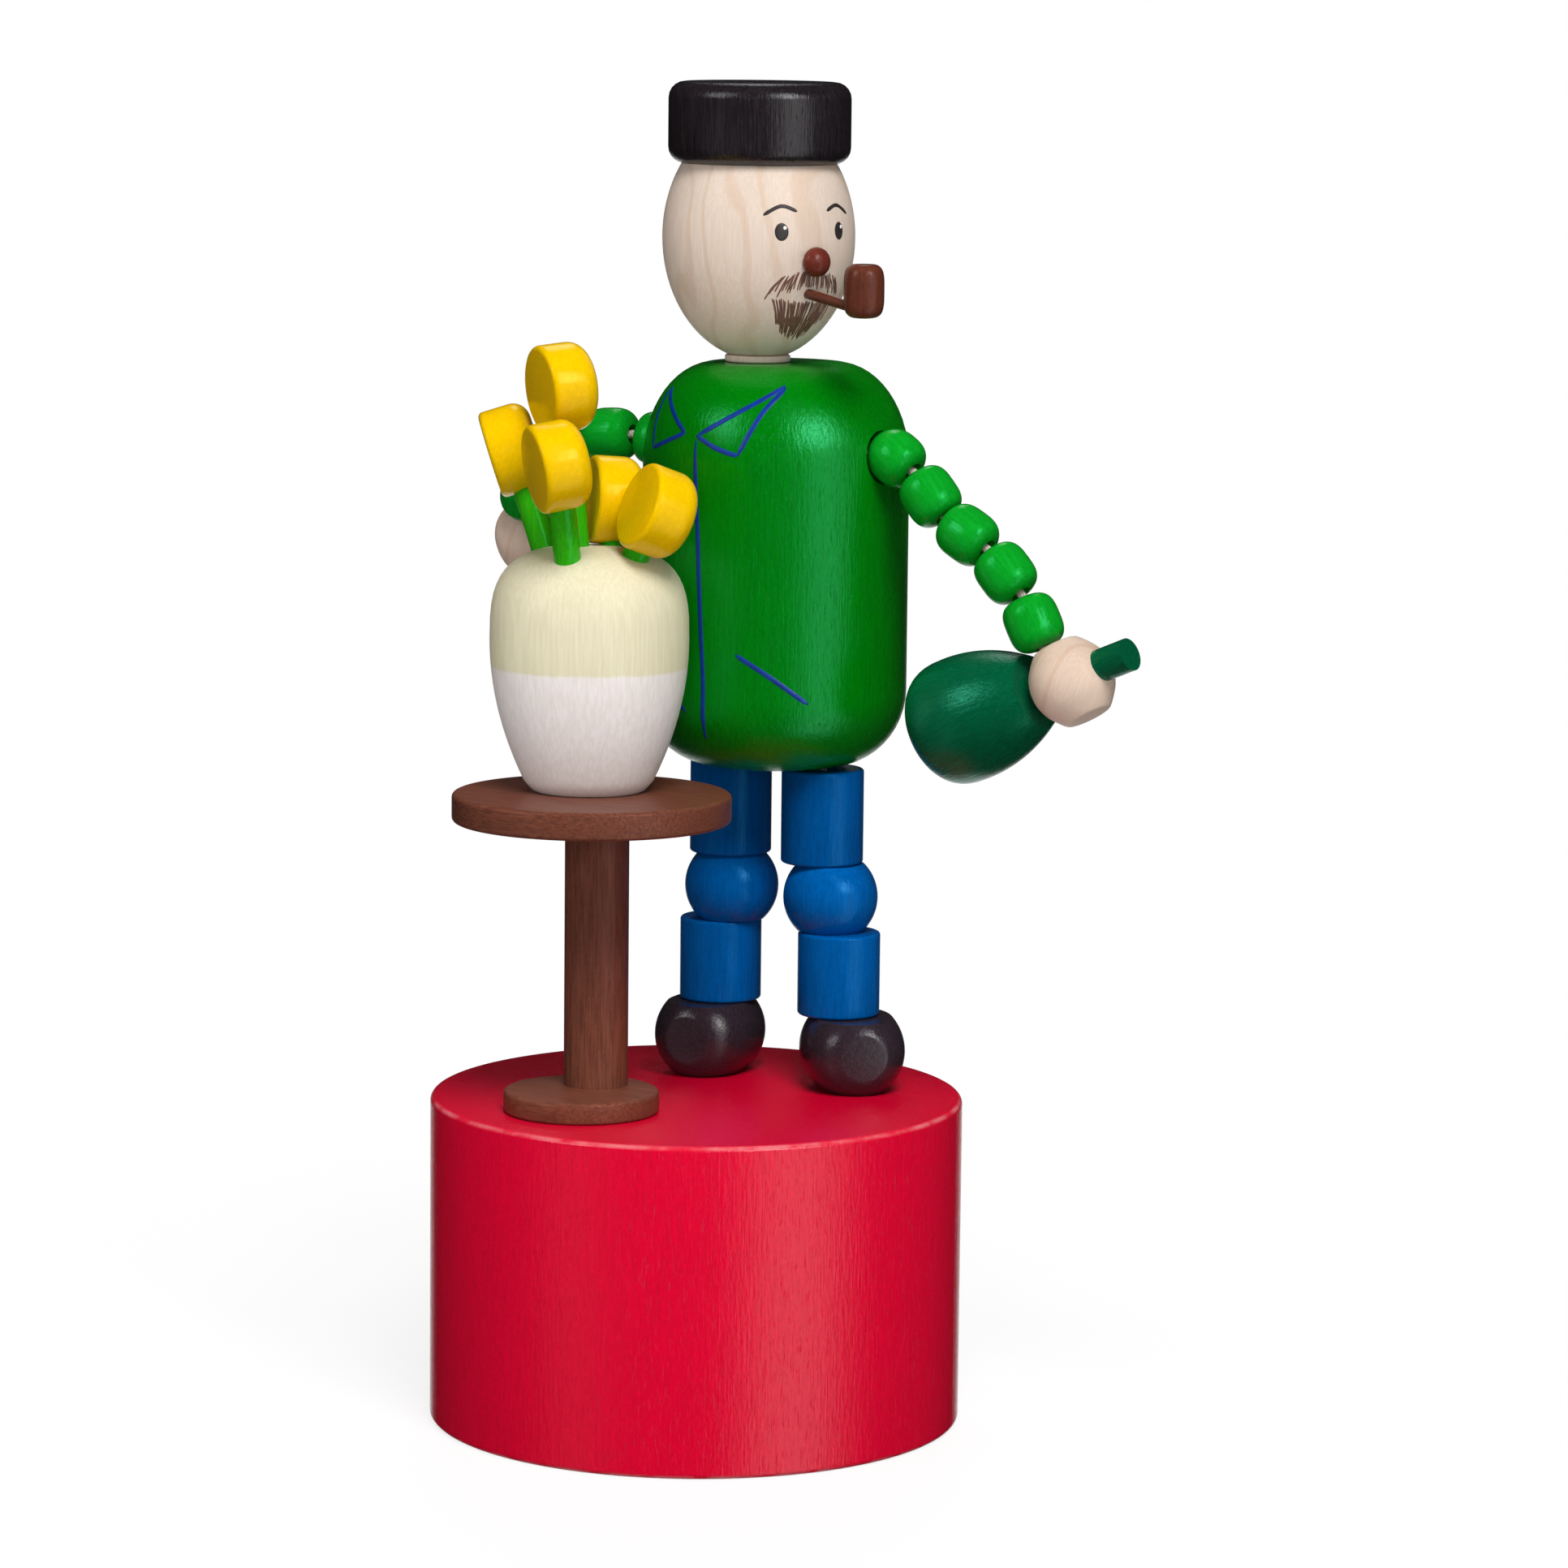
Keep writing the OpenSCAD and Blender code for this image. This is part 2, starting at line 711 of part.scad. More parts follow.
// Rod of the pipe's stem, which also cuts its holes
module pipe_rod() {
    aim(mouth - pipe_sunk * dir(face_az, pipe_slope), face_az, pipe_slope) cylinder(d = pipe_d, h = pipe_l);
}

// Pipe stem held in the mouth hole
module pipe_stem() {
    color(brown) pipe_rod();
}

// Pipe bowl with a tobacco hole
module pipe_bowl() {
    color(brown) difference() {
        translate(bowl_at + [0, 0, bowl_h / 2])
            turned(barrel(bowl_d / 2, bowl_h / 2, bowl_full, bowl_h / 2, bowl_full, 12));
        translate(bowl_at + [0, 0, bowl_h - bowl_hole_h]) cylinder(d = bowl_hole_d, h = bowl_hole_h + over);
        pipe_rod();
    }
}

// One arm bead; the first has a round end that sits in the shoulder pocket
module bead(side, i) {
    h0 = i == 0 ? bead_d / 2 : bead_l / 2;
    h1 = bead_l - h0;
    o = i == 0 ? (bead_d - bead_l) / 2 : 0;
    color(bead_green) aim(bead_at(side, i), heading(side, i), slope(side, i)) difference() {
        translate([0, 0, o]) turned(barrel(bead_d / 2, h0, i == 0 ? 2 : bead_full, h1, bead_full, 12));
        translate([0, 0, -bead_l]) cylinder(d = arm_bore_d, h = 2 * bead_l);
    }
}

module left_bead_1() {
    bead(1, 0);
}

module left_bead_2() {
    bead(1, 1);
}

module left_bead_3() {
    bead(1, 2);
}

module left_bead_4() {
    bead(1, 3);
}

module left_bead_5() {
    bead(1, 4);
}

module right_bead_1() {
    bead(-1, 0);
}

module right_bead_2() {
    bead(-1, 1);
}

module right_bead_3() {
    bead(-1, 2);
}

module right_bead_4() {
    bead(-1, 3);
}

module right_bead_5() {
    bead(-1, 4);
}

// Round hand bead
module hand_bead(side) {
    aim(bead_at(side, 5), heading(side, 5), slope(side, 5))
        turned(barrel(hand_d / 2, hand_h / 2, hand_full, hand_h / 2, hand_full, 16));
}

// Bottle axis: its middle over the hand's centre, its neck from inside the body to its tip
bottle_dir = dir(0, -bottle_slope);
bottle_mid = bead_at(1, 5) + bottle_rise * dir(0, -90 - bottle_slope);
neck_inner = 8;
neck_outer = 7.2;

// Rod of the bottle's neck, which also cuts its holes
module bottle_rod() {
    aim(bottle_mid - neck_inner * bottle_dir, 0, -bottle_slope)
        cylinder(d = bottle_neck_d, h = neck_inner + neck_outer);
}

// Left hand, drilled across for the bottle neck and along for the cord
module left_hand() {
    color(natural) difference() {
        hand_bead(1);
        bottle_rod();
        aim(bead_at(1, 5) - hand_d * along(1, 5), heading(1, 5), slope(1, 5))
            cylinder(d = arm_bore_d, h = hand_d);
    }
}

// Right hand, drilled through for the cord and its end knot
module right_hand() {
    color(natural) difference() {
        hand_bead(-1);
        aim(bead_at(-1, 5) - hand_d * along(-1, 5), heading(-1, 5), slope(-1, 5))
            cylinder(d = arm_bore_d, h = 2 * hand_d);
    }
}

// Bottle body, rounded at the base and drawn in towards the hand
module bottle_body() {
    r = bottle_d / 2;
    l0 = bottle_l * bottle_base;
    l1 = bottle_l - l0;
    k = 14;
    top = [for (i = [1:k]) [r * (1 - bottle_taper * pow(i / k, 2)), l1 * i / k]];
    color(bottle_green) difference() {
        aim(bottle_mid - (hand_d / 2 + bottle_gap + l1) * bottle_dir, 0, -bottle_slope)
            turned(concat(flip(swell(r, l0, bottle_full, k)), top, [[0, l1]]));
        bottle_rod();
        hand_bead(1);
    }
}

// Bottle neck, a rod through the hand
module bottle_neck() {
    color(bottle_green) bottle_rod();
}

base_drum();
push_button();
push_spring();
left_cord();
right_cord();
head_cord();
table_foot();
table_column();
table_top();
vase();
flower_stem_1();
flower_stem_2();
flower_stem_3();
flower_stem_4();
flower_stem_5();
flower_head_1();
flower_head_2();
flower_head_3();
flower_head_4();
flower_head_5();
left_shoe();
right_shoe();
left_shin();
right_shin();
left_knee();
right_knee();
left_thigh();
right_thigh();
torso();
neck_collar();
head();
nose();
hat();
pipe_stem();
pipe_bowl();
left_bead_1();
left_bead_2();
left_bead_3();
left_bead_4();
left_bead_5();
left_hand();
bottle_body();
bottle_neck();
right_bead_1();
right_bead_2();
right_bead_3();
right_bead_4();
right_bead_5();
right_hand();
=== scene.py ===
"""Looks of a wooden push puppet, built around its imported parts.

Lengths are in metres, in the parts' own frame. Materials and drawn lines count in millimetres.
"""

import json
import math
import random

import bpy
from mathutils import Matrix, Vector
from mathutils.bvhtree import BVHTree


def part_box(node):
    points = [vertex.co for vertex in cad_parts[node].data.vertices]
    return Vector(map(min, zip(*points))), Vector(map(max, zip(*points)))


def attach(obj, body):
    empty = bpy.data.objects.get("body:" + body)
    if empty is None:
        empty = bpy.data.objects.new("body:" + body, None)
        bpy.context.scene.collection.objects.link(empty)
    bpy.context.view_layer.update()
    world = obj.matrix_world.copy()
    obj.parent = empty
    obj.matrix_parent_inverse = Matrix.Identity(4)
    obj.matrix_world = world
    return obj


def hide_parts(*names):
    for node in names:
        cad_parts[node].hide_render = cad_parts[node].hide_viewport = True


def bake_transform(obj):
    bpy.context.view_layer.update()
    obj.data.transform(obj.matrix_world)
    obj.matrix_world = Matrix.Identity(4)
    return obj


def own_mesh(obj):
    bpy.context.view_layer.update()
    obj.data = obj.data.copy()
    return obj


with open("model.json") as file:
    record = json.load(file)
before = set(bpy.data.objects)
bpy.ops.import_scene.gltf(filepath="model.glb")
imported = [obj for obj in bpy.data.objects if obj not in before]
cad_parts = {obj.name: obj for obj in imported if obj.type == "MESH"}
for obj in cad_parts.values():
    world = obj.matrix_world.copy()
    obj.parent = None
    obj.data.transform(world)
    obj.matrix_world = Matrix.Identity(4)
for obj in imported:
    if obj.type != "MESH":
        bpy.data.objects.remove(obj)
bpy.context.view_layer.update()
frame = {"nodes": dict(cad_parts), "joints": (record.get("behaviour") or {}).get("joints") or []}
nodes = frame["nodes"]
joints = {j["name"]: j for j in frame["joints"]}
joint_at = {name: Vector(j.get("pos_m", (0, 0, 0))) for name, j in joints.items()}

MM = 0.001
UP = Vector((0, 0, 1))
ORIGIN = (0, 0, 0)
SIDES = ("left", "right")
BEADS = range(1, 6)
FLOWERS = range(1, 6)
STROKE_SEED = 7
random.seed(STROKE_SEED)


# Small helpers

def srgb(red, green, blue):
    """Linear colour from 8-bit screen values."""
    parts = (red / 255, green / 255, blue / 255)
    return tuple(c / 12.92 if c <= 0.04045 else ((c + 0.055) / 1.055) ** 2.4 for c in parts) + (1.0,)


def shaded(colour, factor):
    """The colour made darker or lighter."""
    return tuple(min(1.0, c * factor) for c in colour[:3]) + (1.0,)


def middle(node):
    """Centre of a part's box."""
    low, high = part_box(node)
    return (low + high) / 2


def centre_line(node, height):
    """Place on the upright line through a part's middle."""
    spot = middle(node)
    spot.z = height
    return spot


def arm_joints(side):
    """Places of an arm's joints, from the shoulder to the wrist."""
    bends = (f"{side}_arm_bend_{i}" for i in BEADS[:-1])
    return [joint_at[name] for name in (f"{side}_arm_swing", *bends, f"{side}_wrist")]


def new_object(name, verts, faces):
    """Smooth mesh object in the scene."""
    mesh = bpy.data.meshes.new(name)
    mesh.from_pydata([tuple(v) for v in verts], [], faces)
    mesh.update()
    mesh.shade_smooth()
    obj = bpy.data.objects.new(name, mesh)
    bpy.context.scene.collection.objects.link(obj)
    return obj


# Colours

RED = srgb(212, 4, 47)
GREEN = srgb(0, 113, 5)
BEAD_GREEN = srgb(8, 146, 32)
STEM_GREEN = srgb(50, 168, 12)
BOTTLE_GREEN = srgb(2, 80, 50)
BLUE = srgb(0, 83, 154)
BROWN = srgb(110, 62, 47)
PIPE_BROWN = srgb(90, 45, 32)
NOSE_BROWN = srgb(98, 41, 31)
SHOE = srgb(44, 35, 42)
BLACK = srgb(32, 27, 31)
CREAM = srgb(204, 198, 170)
WHITE = srgb(216, 209, 207)
YELLOW = srgb(226, 180, 2)
PALE_WOOD = srgb(198, 181, 167)
YEAR_LINE = srgb(182, 156, 134)
HAND_WOOD = srgb(194, 172, 155)
HAND_YEAR_LINE = srgb(178, 145, 120)
PAINT_PORE = srgb(196, 182, 150)
PAINT_STREAK = srgb(244, 241, 236)
INK_BLUE = srgb(4, 44, 122)
INK_DARK = srgb(44, 38, 38)
INK_BROWN = srgb(104, 72, 62)
EYE_GLINT = srgb(222, 216, 208)
# Cord colours, with painted shade: darker in the grooves of the lay, and toned down as a whole
CORD_GROOVE_SHADE = srgb(172, 164, 148)
CORD_PALE = srgb(212, 205, 190)
STEEL_DARK = srgb(150, 150, 154)
STEEL_PALE = srgb(206, 206, 208)
FLOOR_WHITE = srgb(244, 244, 244)
FLOOR_BOUNCE = srgb(170, 170, 170)
PURE_WHITE = (1.0, 1.0, 1.0, 1.0)
GREEN_GLOSS = (0.12, 1.0, 0.5, 1.0)
BLUE_GLOSS = (0.1, 0.55, 1.0, 1.0)
BOTTLE_GLOSS = (0.12, 1.0, 0.65, 1.0)
YELLOW_GLOSS = (1.0, 0.85, 0.3, 1.0)


# Materials

class Shader:
    """A material with one principled shader and short calls for its nodes."""

    MIXED_COLOUR = 2  # place of the colour among the mix node's outputs

    def __init__(self, name):
        self.material = bpy.data.materials.new(name)
        self.material.use_nodes = True
        self.tree = self.material.node_tree
        self.surface = self.tree.nodes["Principled BSDF"]

    def add(self, kind, inputs=None, **settings):
        node = self.tree.nodes.new(kind)
        for key, value in settings.items():
            setattr(node, key, value)
        for key, value in (inputs or {}).items():
            self.put(node, key, value)
        return node

    def put(self, node, key, value):
        self.feed(node.inputs[key], value)

    def feed(self, socket, value):
        """Links another node's output, or sets a plain value."""
        if isinstance(value, bpy.types.NodeSocket):
            self.tree.links.new(value, socket)
        else:
            socket.default_value = value

    def math(self, operation, a, b=0.0):
        return self.add("ShaderNodeMath", {0: a, 1: b}, operation=operation).outputs[0]

    def noise(self, vector, scale, detail=2.0, roughness=0.5):
        inputs = {"Vector": vector, "Scale": scale, "Detail": detail, "Roughness": roughness}
        return self.add("ShaderNodeTexNoise", inputs).outputs["Fac"]

    def span(self, value, low, high, to_low=0.0, to_high=1.0):
        """Soft step from one range of values to another."""
        inputs = {"Value": value, "From Min": low, "From Max": high, "To Min": to_low, "To Max": to_high}
        node = self.add("ShaderNodeMapRange", inputs, interpolation_type="SMOOTHSTEP")
        return node.outputs["Result"]

    def mix(self, factor, a, b, blend="MIX"):
        node = self.add("ShaderNodeMix", data_type="RGBA", blend_type=blend)
        values = {"Factor_Float": factor, "A_Color": a, "B_Color": b}
        for socket in node.inputs:
            if socket.identifier in values:
                self.feed(socket, values[socket.identifier])
        return node.outputs[self.MIXED_COLOUR]

    def split(self, vector):
        return self.add("ShaderNodeSeparateXYZ", {"Vector": vector}).outputs

    def local(self, origin, axis):
        """Coordinates in millimetres with the given axis turned to Z."""
        turn = Vector(axis).rotation_difference(UP).to_matrix()
        place = -(turn @ Vector(origin)) / MM
        source = self.add("ShaderNodeTexCoord").outputs["Object"]
        inputs = {"Vector": source, "Location": place, "Rotation": turn.to_euler(), "Scale": (1 / MM,) * 3}
        return self.add("ShaderNodeMapping", inputs).outputs["Vector"]

    def stretch(self, vector, x, y, z):
        return self.add("ShaderNodeMapping", {"Vector": vector, "Scale": (x, y, z)}).outputs["Vector"]

    def radius_and_height(self, vector):
        x, y, z = self.split(vector)
        squares = self.math("ADD", self.math("MULTIPLY", x, x), self.math("MULTIPLY", y, y))
        return self.math("SQRT", squares), z

    def coat(self, colour, roughness, height, strength, depth):
        """Connects colour, roughness and a relief whose depth is in millimetres."""
        bump = {"Height": height, "Strength": strength, "Distance": depth * MM}
        relief = self.add("ShaderNodeBump", bump)
        self.put(self.surface, "Base Color", colour)
        self.put(self.surface, "Roughness", roughness)
        self.put(self.surface, "Normal", relief.outputs["Normal"])


def grain(shader, vector, width, length):
    """Fibre streaks of one width and length, in millimetres."""
    fibres = shader.stretch(vector, 1 / width, 1 / width, 1 / length)
    return shader.noise(fibres, scale=1.0, detail=4.0, roughness=0.62)


# Shares of fibres, fine grain and pores in the relief of wood
FIBRE_RELIEF = 0.4
FINE_RELIEF = 0.6
PORE_RELIEF = 0.3
RELIEF_STRENGTH = 0.55
ROUGHNESS_SPREAD = 0.03


def finish_wood(shader, colour, fibres, pores, vector, roughness, depth, gloss=0.5, tint=PURE_WHITE):
    """Connects colour, gloss and relief of a wood surface."""
    fine = grain(shader, vector, width=0.4, length=1.8)
    height = shader.math("ADD", shader.math("MULTIPLY", fibres, FIBRE_RELIEF),
                         shader.math("MULTIPLY", fine, FINE_RELIEF))
    height = shader.math("SUBTRACT", height, shader.math("MULTIPLY", pores, PORE_RELIEF))
    uneven = shader.span(fibres, low=0.25, high=0.75, to_low=roughness + ROUGHNESS_SPREAD,
                         to_high=roughness - ROUGHNESS_SPREAD)
    shader.coat(colour, uneven, height, RELIEF_STRENGTH, depth)
    shader.put(shader.surface, "Specular IOR Level", gloss)
    shader.put(shader.surface, "Specular Tint", tint)
    return shader.material


# Darker or lighter places of a stain, as factors of its tone or of its contrast
CLOUD_CONTRAST = 0.6
PORE_SHADE = 0.5
SPECK_SHADE = 1.25
# Pale rims: partly wear, partly a painted highlight along the rounded edges
RIM_TONE = 0.45
RIM_PALENESS = 0.5

# Widths of the soft edges of pale rims, which are partly wear and partly a painted highlight, and of a raw
# hollow, in millimetres
RIM_WIDTH = 0.5
RIM_EDGE = 0.05
RAW_WIDTH = 0.25
RAW_EDGE = 0.1


def stained_wood(name, tone, origin, axis=UP, contrast=0.28, roughness=0.1, depth=0.06, gloss=0.5,
                 tint=PURE_WHITE, open_pores=0.2, wear_and_highlight_rims=(), inside=None):
    """Stained or thinly painted wood whose grain runs along axis.

    The rims are (radius, height) of edges painted pale, partly as wear and partly as a painted highlight,
    and inside is (radius, height) of a hollow that was left raw.
    """
    shader = Shader(name)
    vector = shader.local(origin, axis)
    fibres = grain(shader, vector, width=0.24, length=4.5)
    pores = shader.span(grain(shader, vector, width=0.12, length=1.4), low=0.60, high=0.72)
    clouds = shader.noise(vector, scale=0.12, detail=3.0)
    specks = shader.noise(vector, scale=2.4, detail=3.0)
    streaks = shader.span(fibres, low=0.3, high=0.72)
    colour = shader.mix(streaks, shaded(tone, 1 - contrast), shaded(tone, 1 + contrast))
    cloudy = shader.span(clouds, low=0.3, high=0.75, to_high=0.35)
    colour = shader.mix(cloudy, colour, shaded(tone, 1 - CLOUD_CONTRAST * contrast))
    colour = shader.mix(shader.math("MULTIPLY", pores, open_pores), colour, shaded(tone, PORE_SHADE))
    speckled = shader.span(specks, low=0.45, high=0.7, to_high=0.3)
    colour = shader.mix(speckled, colour, shaded(tone, SPECK_SHADE))
    radius, height = shader.radius_and_height(vector)
    # Pale patchy rims: partly rubbed wear, partly a painted highlight along the rounded edge
    for rim_radius, rim_height in wear_and_highlight_rims:
        away = shader.math("ABSOLUTE", shader.math("SUBTRACT", height, rim_height))
        level = shader.span(away, low=RIM_WIDTH, high=RIM_EDGE)
        near = shader.span(radius, low=rim_radius - RIM_WIDTH, high=rim_radius - RIM_EDGE)
        rim_patches = shader.noise(vector, scale=0.35, detail=3.0)
        patchy = shader.span(rim_patches, low=0.35, high=0.65, to_low=0.05, to_high=0.5)
        wear_and_highlight = shader.math("MULTIPLY", shader.math("MULTIPLY", near, level), patchy)
        pale = tuple(RIM_TONE * c + RIM_PALENESS for c in tone[:3]) + (1.0,)
        colour = shader.mix(wear_and_highlight, colour, pale)
    if inside:
        wall, roof = inside
        raw = shader.math("MULTIPLY", shader.span(radius, low=wall + RAW_WIDTH, high=wall + RAW_EDGE),
                          shader.span(height, low=roof + RAW_WIDTH, high=roof + RAW_EDGE))
        colour = shader.mix(raw, colour, raw_wood_colour(shader, vector))
    return finish_wood(shader, colour, fibres, pores, vector, roughness, depth, gloss, tint)


# Year lines: weights of the two ways across the grain, radians per millimetre, and how they wander
YEAR_LINE_SLANT = (0.55, 0.25)
YEAR_LINE_PITCH = 3.2
YEAR_LINE_WANDER = 26.0
YEAR_LINE_BENDS = (0.10, 0.10, 0.035)

# Shades of the fibres and pores of clear wood
FIBRE_DARK = 0.93
FIBRE_LIGHT = 1.05
CLEAR_PORES = 0.3
CLEAR_PORE_SHADE = 0.72


def raw_wood_colour(shader, vector, pale=PALE_WOOD, warm=YEAR_LINE):
    """Pale fine-grained wood with soft year lines."""
    bent = shader.noise(shader.stretch(vector, *YEAR_LINE_BENDS), scale=1.0, detail=2.0)
    x, y, _ = shader.split(vector)
    across = shader.math("ADD", shader.math("MULTIPLY", x, YEAR_LINE_SLANT[0]),
                         shader.math("MULTIPLY", y, YEAR_LINE_SLANT[1]))
    line = shader.math("SINE", shader.math("ADD", shader.math("MULTIPLY", across, YEAR_LINE_PITCH),
                                           shader.math("MULTIPLY", bent, YEAR_LINE_WANDER)))
    lines = shader.span(line, low=0.45, high=1.0, to_high=0.42)
    streaks = shader.span(grain(shader, vector, width=0.22, length=4.0), low=0.3, high=0.75)
    colour = shader.mix(streaks, shaded(pale, FIBRE_DARK), shaded(pale, FIBRE_LIGHT))
    return shader.mix(lines, colour, warm)


def natural_wood(name, origin, axis=UP, pale=PALE_WOOD, warm=YEAR_LINE):
    """Clear-lacquered pale wood."""
    shader = Shader(name)
    vector = shader.local(origin, axis)
    fibres = grain(shader, vector, width=0.25, length=4.5)
    pores = shader.span(grain(shader, vector, width=0.12, length=1.4), low=0.62, high=0.74)
    colour = raw_wood_colour(shader, vector, pale, warm)
    open_pores = shader.math("MULTIPLY", pores, CLEAR_PORES)
    colour = shader.mix(open_pores, colour, shaded(warm, CLEAR_PORE_SHADE))
    return finish_wood(shader, colour, fibres, pores, vector, roughness=0.4, depth=0.018, gloss=0.3)


# Edge between two paints: height of its waves, and where it starts and ends, in millimetres
EDGE_WAVE = 0.5
EDGE_START = 0.1
EDGE_END = 0.45
PAINT_PORES = 0.1


def two_tone_wood(name, upper, lower, origin, edge):
    """Painted wood in two colours that meet at one height, in millimetres above origin."""
    shader = Shader(name)
    vector = shader.local(origin, UP)
    fibres = grain(shader, vector, width=0.3, length=5.0)
    pores = shader.span(grain(shader, vector, width=0.14, length=1.2), low=0.64, high=0.76)
    _, height = shader.radius_and_height(vector)
    wave = shader.math("MULTIPLY", shader.noise(vector, scale=0.8, detail=3.0), EDGE_WAVE)
    wavy = shader.math("ADD", height, wave)
    above = shader.span(wavy, low=edge + EDGE_START, high=edge + EDGE_END)
    paint = shader.mix(above, lower, upper)
    streaks = shader.mix(shader.span(fibres, low=0.3, high=0.72), PAINT_STREAK, PURE_WHITE)
    colour = shader.mix(1.0, paint, streaks, "MULTIPLY")
    colour = shader.mix(shader.math("MULTIPLY", pores, PAINT_PORES), colour, PAINT_PORE)
    return finish_wood(shader, colour, fibres, pores, vector, roughness=0.4, depth=0.022, gloss=0.3)


# Ink: how dense its fine streaks are, and how much lighter it is where it is thin
INK_STREAKS = (6.0, 6.0, 1.0)
THIN_INK = 1.8


def ink(name, tone):
    """Drawn line whose colour thins where the pen was lifted."""
    shader = Shader(name)
    vector = shader.local(ORIGIN, UP)
    thin = shader.span(shader.noise(vector, scale=1.3, detail=4.0), low=0.35, high=0.75, to_high=0.5)
    fine = shader.noise(shader.stretch(vector, *INK_STREAKS), scale=1.0, detail=3.0)
    roughness = shader.span(fine, low=0.3, high=0.7, to_low=0.35, to_high=0.5)
    shader.coat(shader.mix(thin, tone, shaded(tone, THIN_INK)), roughness, fine, strength=0.3, depth=0.02)
    return shader.material


def twisted_cord(name):
    """Off-white twisted cotton, painted darker as a whole so its bits between the beads look shaded, and
    darker in the grooves of its lay as painted shade.
    """
    shader = Shader(name)
    vector = shader.local(ORIGIN, UP)
    twist = {"Vector": vector, "Scale": 1.2, "Distortion": 2.5, "Detail": 2.0}
    lay_with_groove_shade = shader.add("ShaderNodeTexWave", twist, bands_direction="DIAGONAL").outputs["Fac"]
    fuzz = shader.noise(vector, scale=14.0, detail=3.0)
    roughness = shader.span(fuzz, low=0.3, high=0.7, to_low=0.75, to_high=0.9)
    height = shader.math("ADD", lay_with_groove_shade, fuzz)
    # Painted shade: the cord is darker where its relief is low, in the grooves of the lay
    shader.coat(shader.mix(lay_with_groove_shade, CORD_GROOVE_SHADE, CORD_PALE), roughness, height, strength=0.6, depth=0.05)
    return shader.material


WIRE_SCRATCHES = (1.0, 1.0, 8.0)


def spring_steel(name):
    """Drawn wire with faint lengthwise scratches."""
    shader = Shader(name)
    vector = shader.local(ORIGIN, UP)
    scratch = shader.noise(shader.stretch(vector, *WIRE_SCRATCHES), scale=1.5, detail=4.0)
    roughness = shader.span(scratch, low=0.3, high=0.7, to_low=0.24, to_high=0.42)
    shader.put(shader.surface, "Base Color", shader.mix(scratch, STEEL_DARK, STEEL_PALE))
    shader.put(shader.surface, "Roughness", roughness)
    shader.put(shader.surface, "Metallic", 1.0)
    return shader.material


# Smooth shading of the carried-over parts

WELD_DISTANCE = 0.002 * MM
SHARP_EDGE = math.radians(40)


def rounding():
    """Node group that joins the facets of a part and keeps only its real edges sharp."""
    group = bpy.data.node_groups.new("rounding", "GeometryNodeTree")
    group.interface.new_socket("Geometry", in_out="INPUT", socket_type="NodeSocketGeometry")
    group.interface.new_socket("Geometry", in_out="OUTPUT", socket_type="NodeSocketGeometry")
    start = group.nodes.new("NodeGroupInput")
    end = group.nodes.new("NodeGroupOutput")
    weld = group.nodes.new("GeometryNodeMergeByDistance")
    weld.inputs["Distance"].default_value = WELD_DISTANCE
    smooth = group.nodes.new("GeometryNodeSetShadeSmooth")
    angle = group.nodes.new("GeometryNodeInputMeshEdgeAngle")
    edge = group.nodes.new("FunctionNodeCompare")
    edge.operation = "GREATER_THAN"
    edge.inputs[1].default_value = SHARP_EDGE
    normal = group.nodes.new("GeometryNodeSetMeshNormal")
    normal.mode = "SHARPNESS"
    normal.inputs["Remove Custom"].default_value = True
    link = group.links.new
    link(start.outputs[0], weld.inputs["Geometry"])
    link(weld.outputs["Geometry"], smooth.inputs["Geometry"])
    link(smooth.outputs["Geometry"], normal.inputs["Mesh"])
    link(angle.outputs["Unsigned Angle"], edge.inputs[0])
    link(edge.outputs["Result"], normal.inputs["Edge Sharpness"])
    link(normal.outputs["Mesh"], end.inputs[0])
    return group


ROUNDING = rounding()


def dress(node, material):
    """Gives a carried-over part its material and smooth shading."""
    part = nodes[node]
    part.data.materials.clear()
    part.data.materials.append(material)
    part.modifiers.new("rounding", "NODES").node_group = ROUNDING


# Drum, button, table, vase and flowers

CAVITY_R = 20.0
CAVITY_TOP = 24.0
VASE_EDGE = 12.0
# Painted shade: the table top darker than its foot and column, because it faces the light from above
TABLE_TOP_PAINTED_SHADE = 0.88
ACROSS = (1, 0, 0)
FLOWER_GRAIN = (0.3, 0.1, 1)
TABLE_LOOK = dict(contrast=0.32, roughness=0.36, depth=0.1, open_pores=0.6, gloss=0.2)
FLOWER_LOOK = dict(contrast=0.06, roughness=0.12, gloss=0.3, tint=YELLOW_GLOSS)

drum_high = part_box("base_drum")[1]
drum_r = drum_high.x / MM
drum_h = drum_high.z / MM
# The drum's top and bottom rims are painted pale, partly as wear and partly as a painted highlight
dress("base_drum", stained_wood("red stain", RED, ORIGIN, contrast=0.08, roughness=0.1, depth=0.15,
                                wear_and_highlight_rims=[(drum_r, drum_h), (drum_r, 0.0)], inside=(CAVITY_R, CAVITY_TOP)))
dress("push_button", stained_wood("button stain", RED, ORIGIN, contrast=0.1, roughness=0.12))

# Painted shade: the top gets a darker copy of the brown, since more light falls on it from above
top_brown_painted_shade = shaded(BROWN, TABLE_TOP_PAINTED_SHADE)
dress("table_foot", stained_wood("foot stain", BROWN, middle("table_foot"), ACROSS, **TABLE_LOOK))
dress("table_column", stained_wood("column stain", BROWN, middle("table_column"), **TABLE_LOOK))
dress("table_top", stained_wood("top stain", top_brown_painted_shade, middle("table_top"), ACROSS, **TABLE_LOOK))

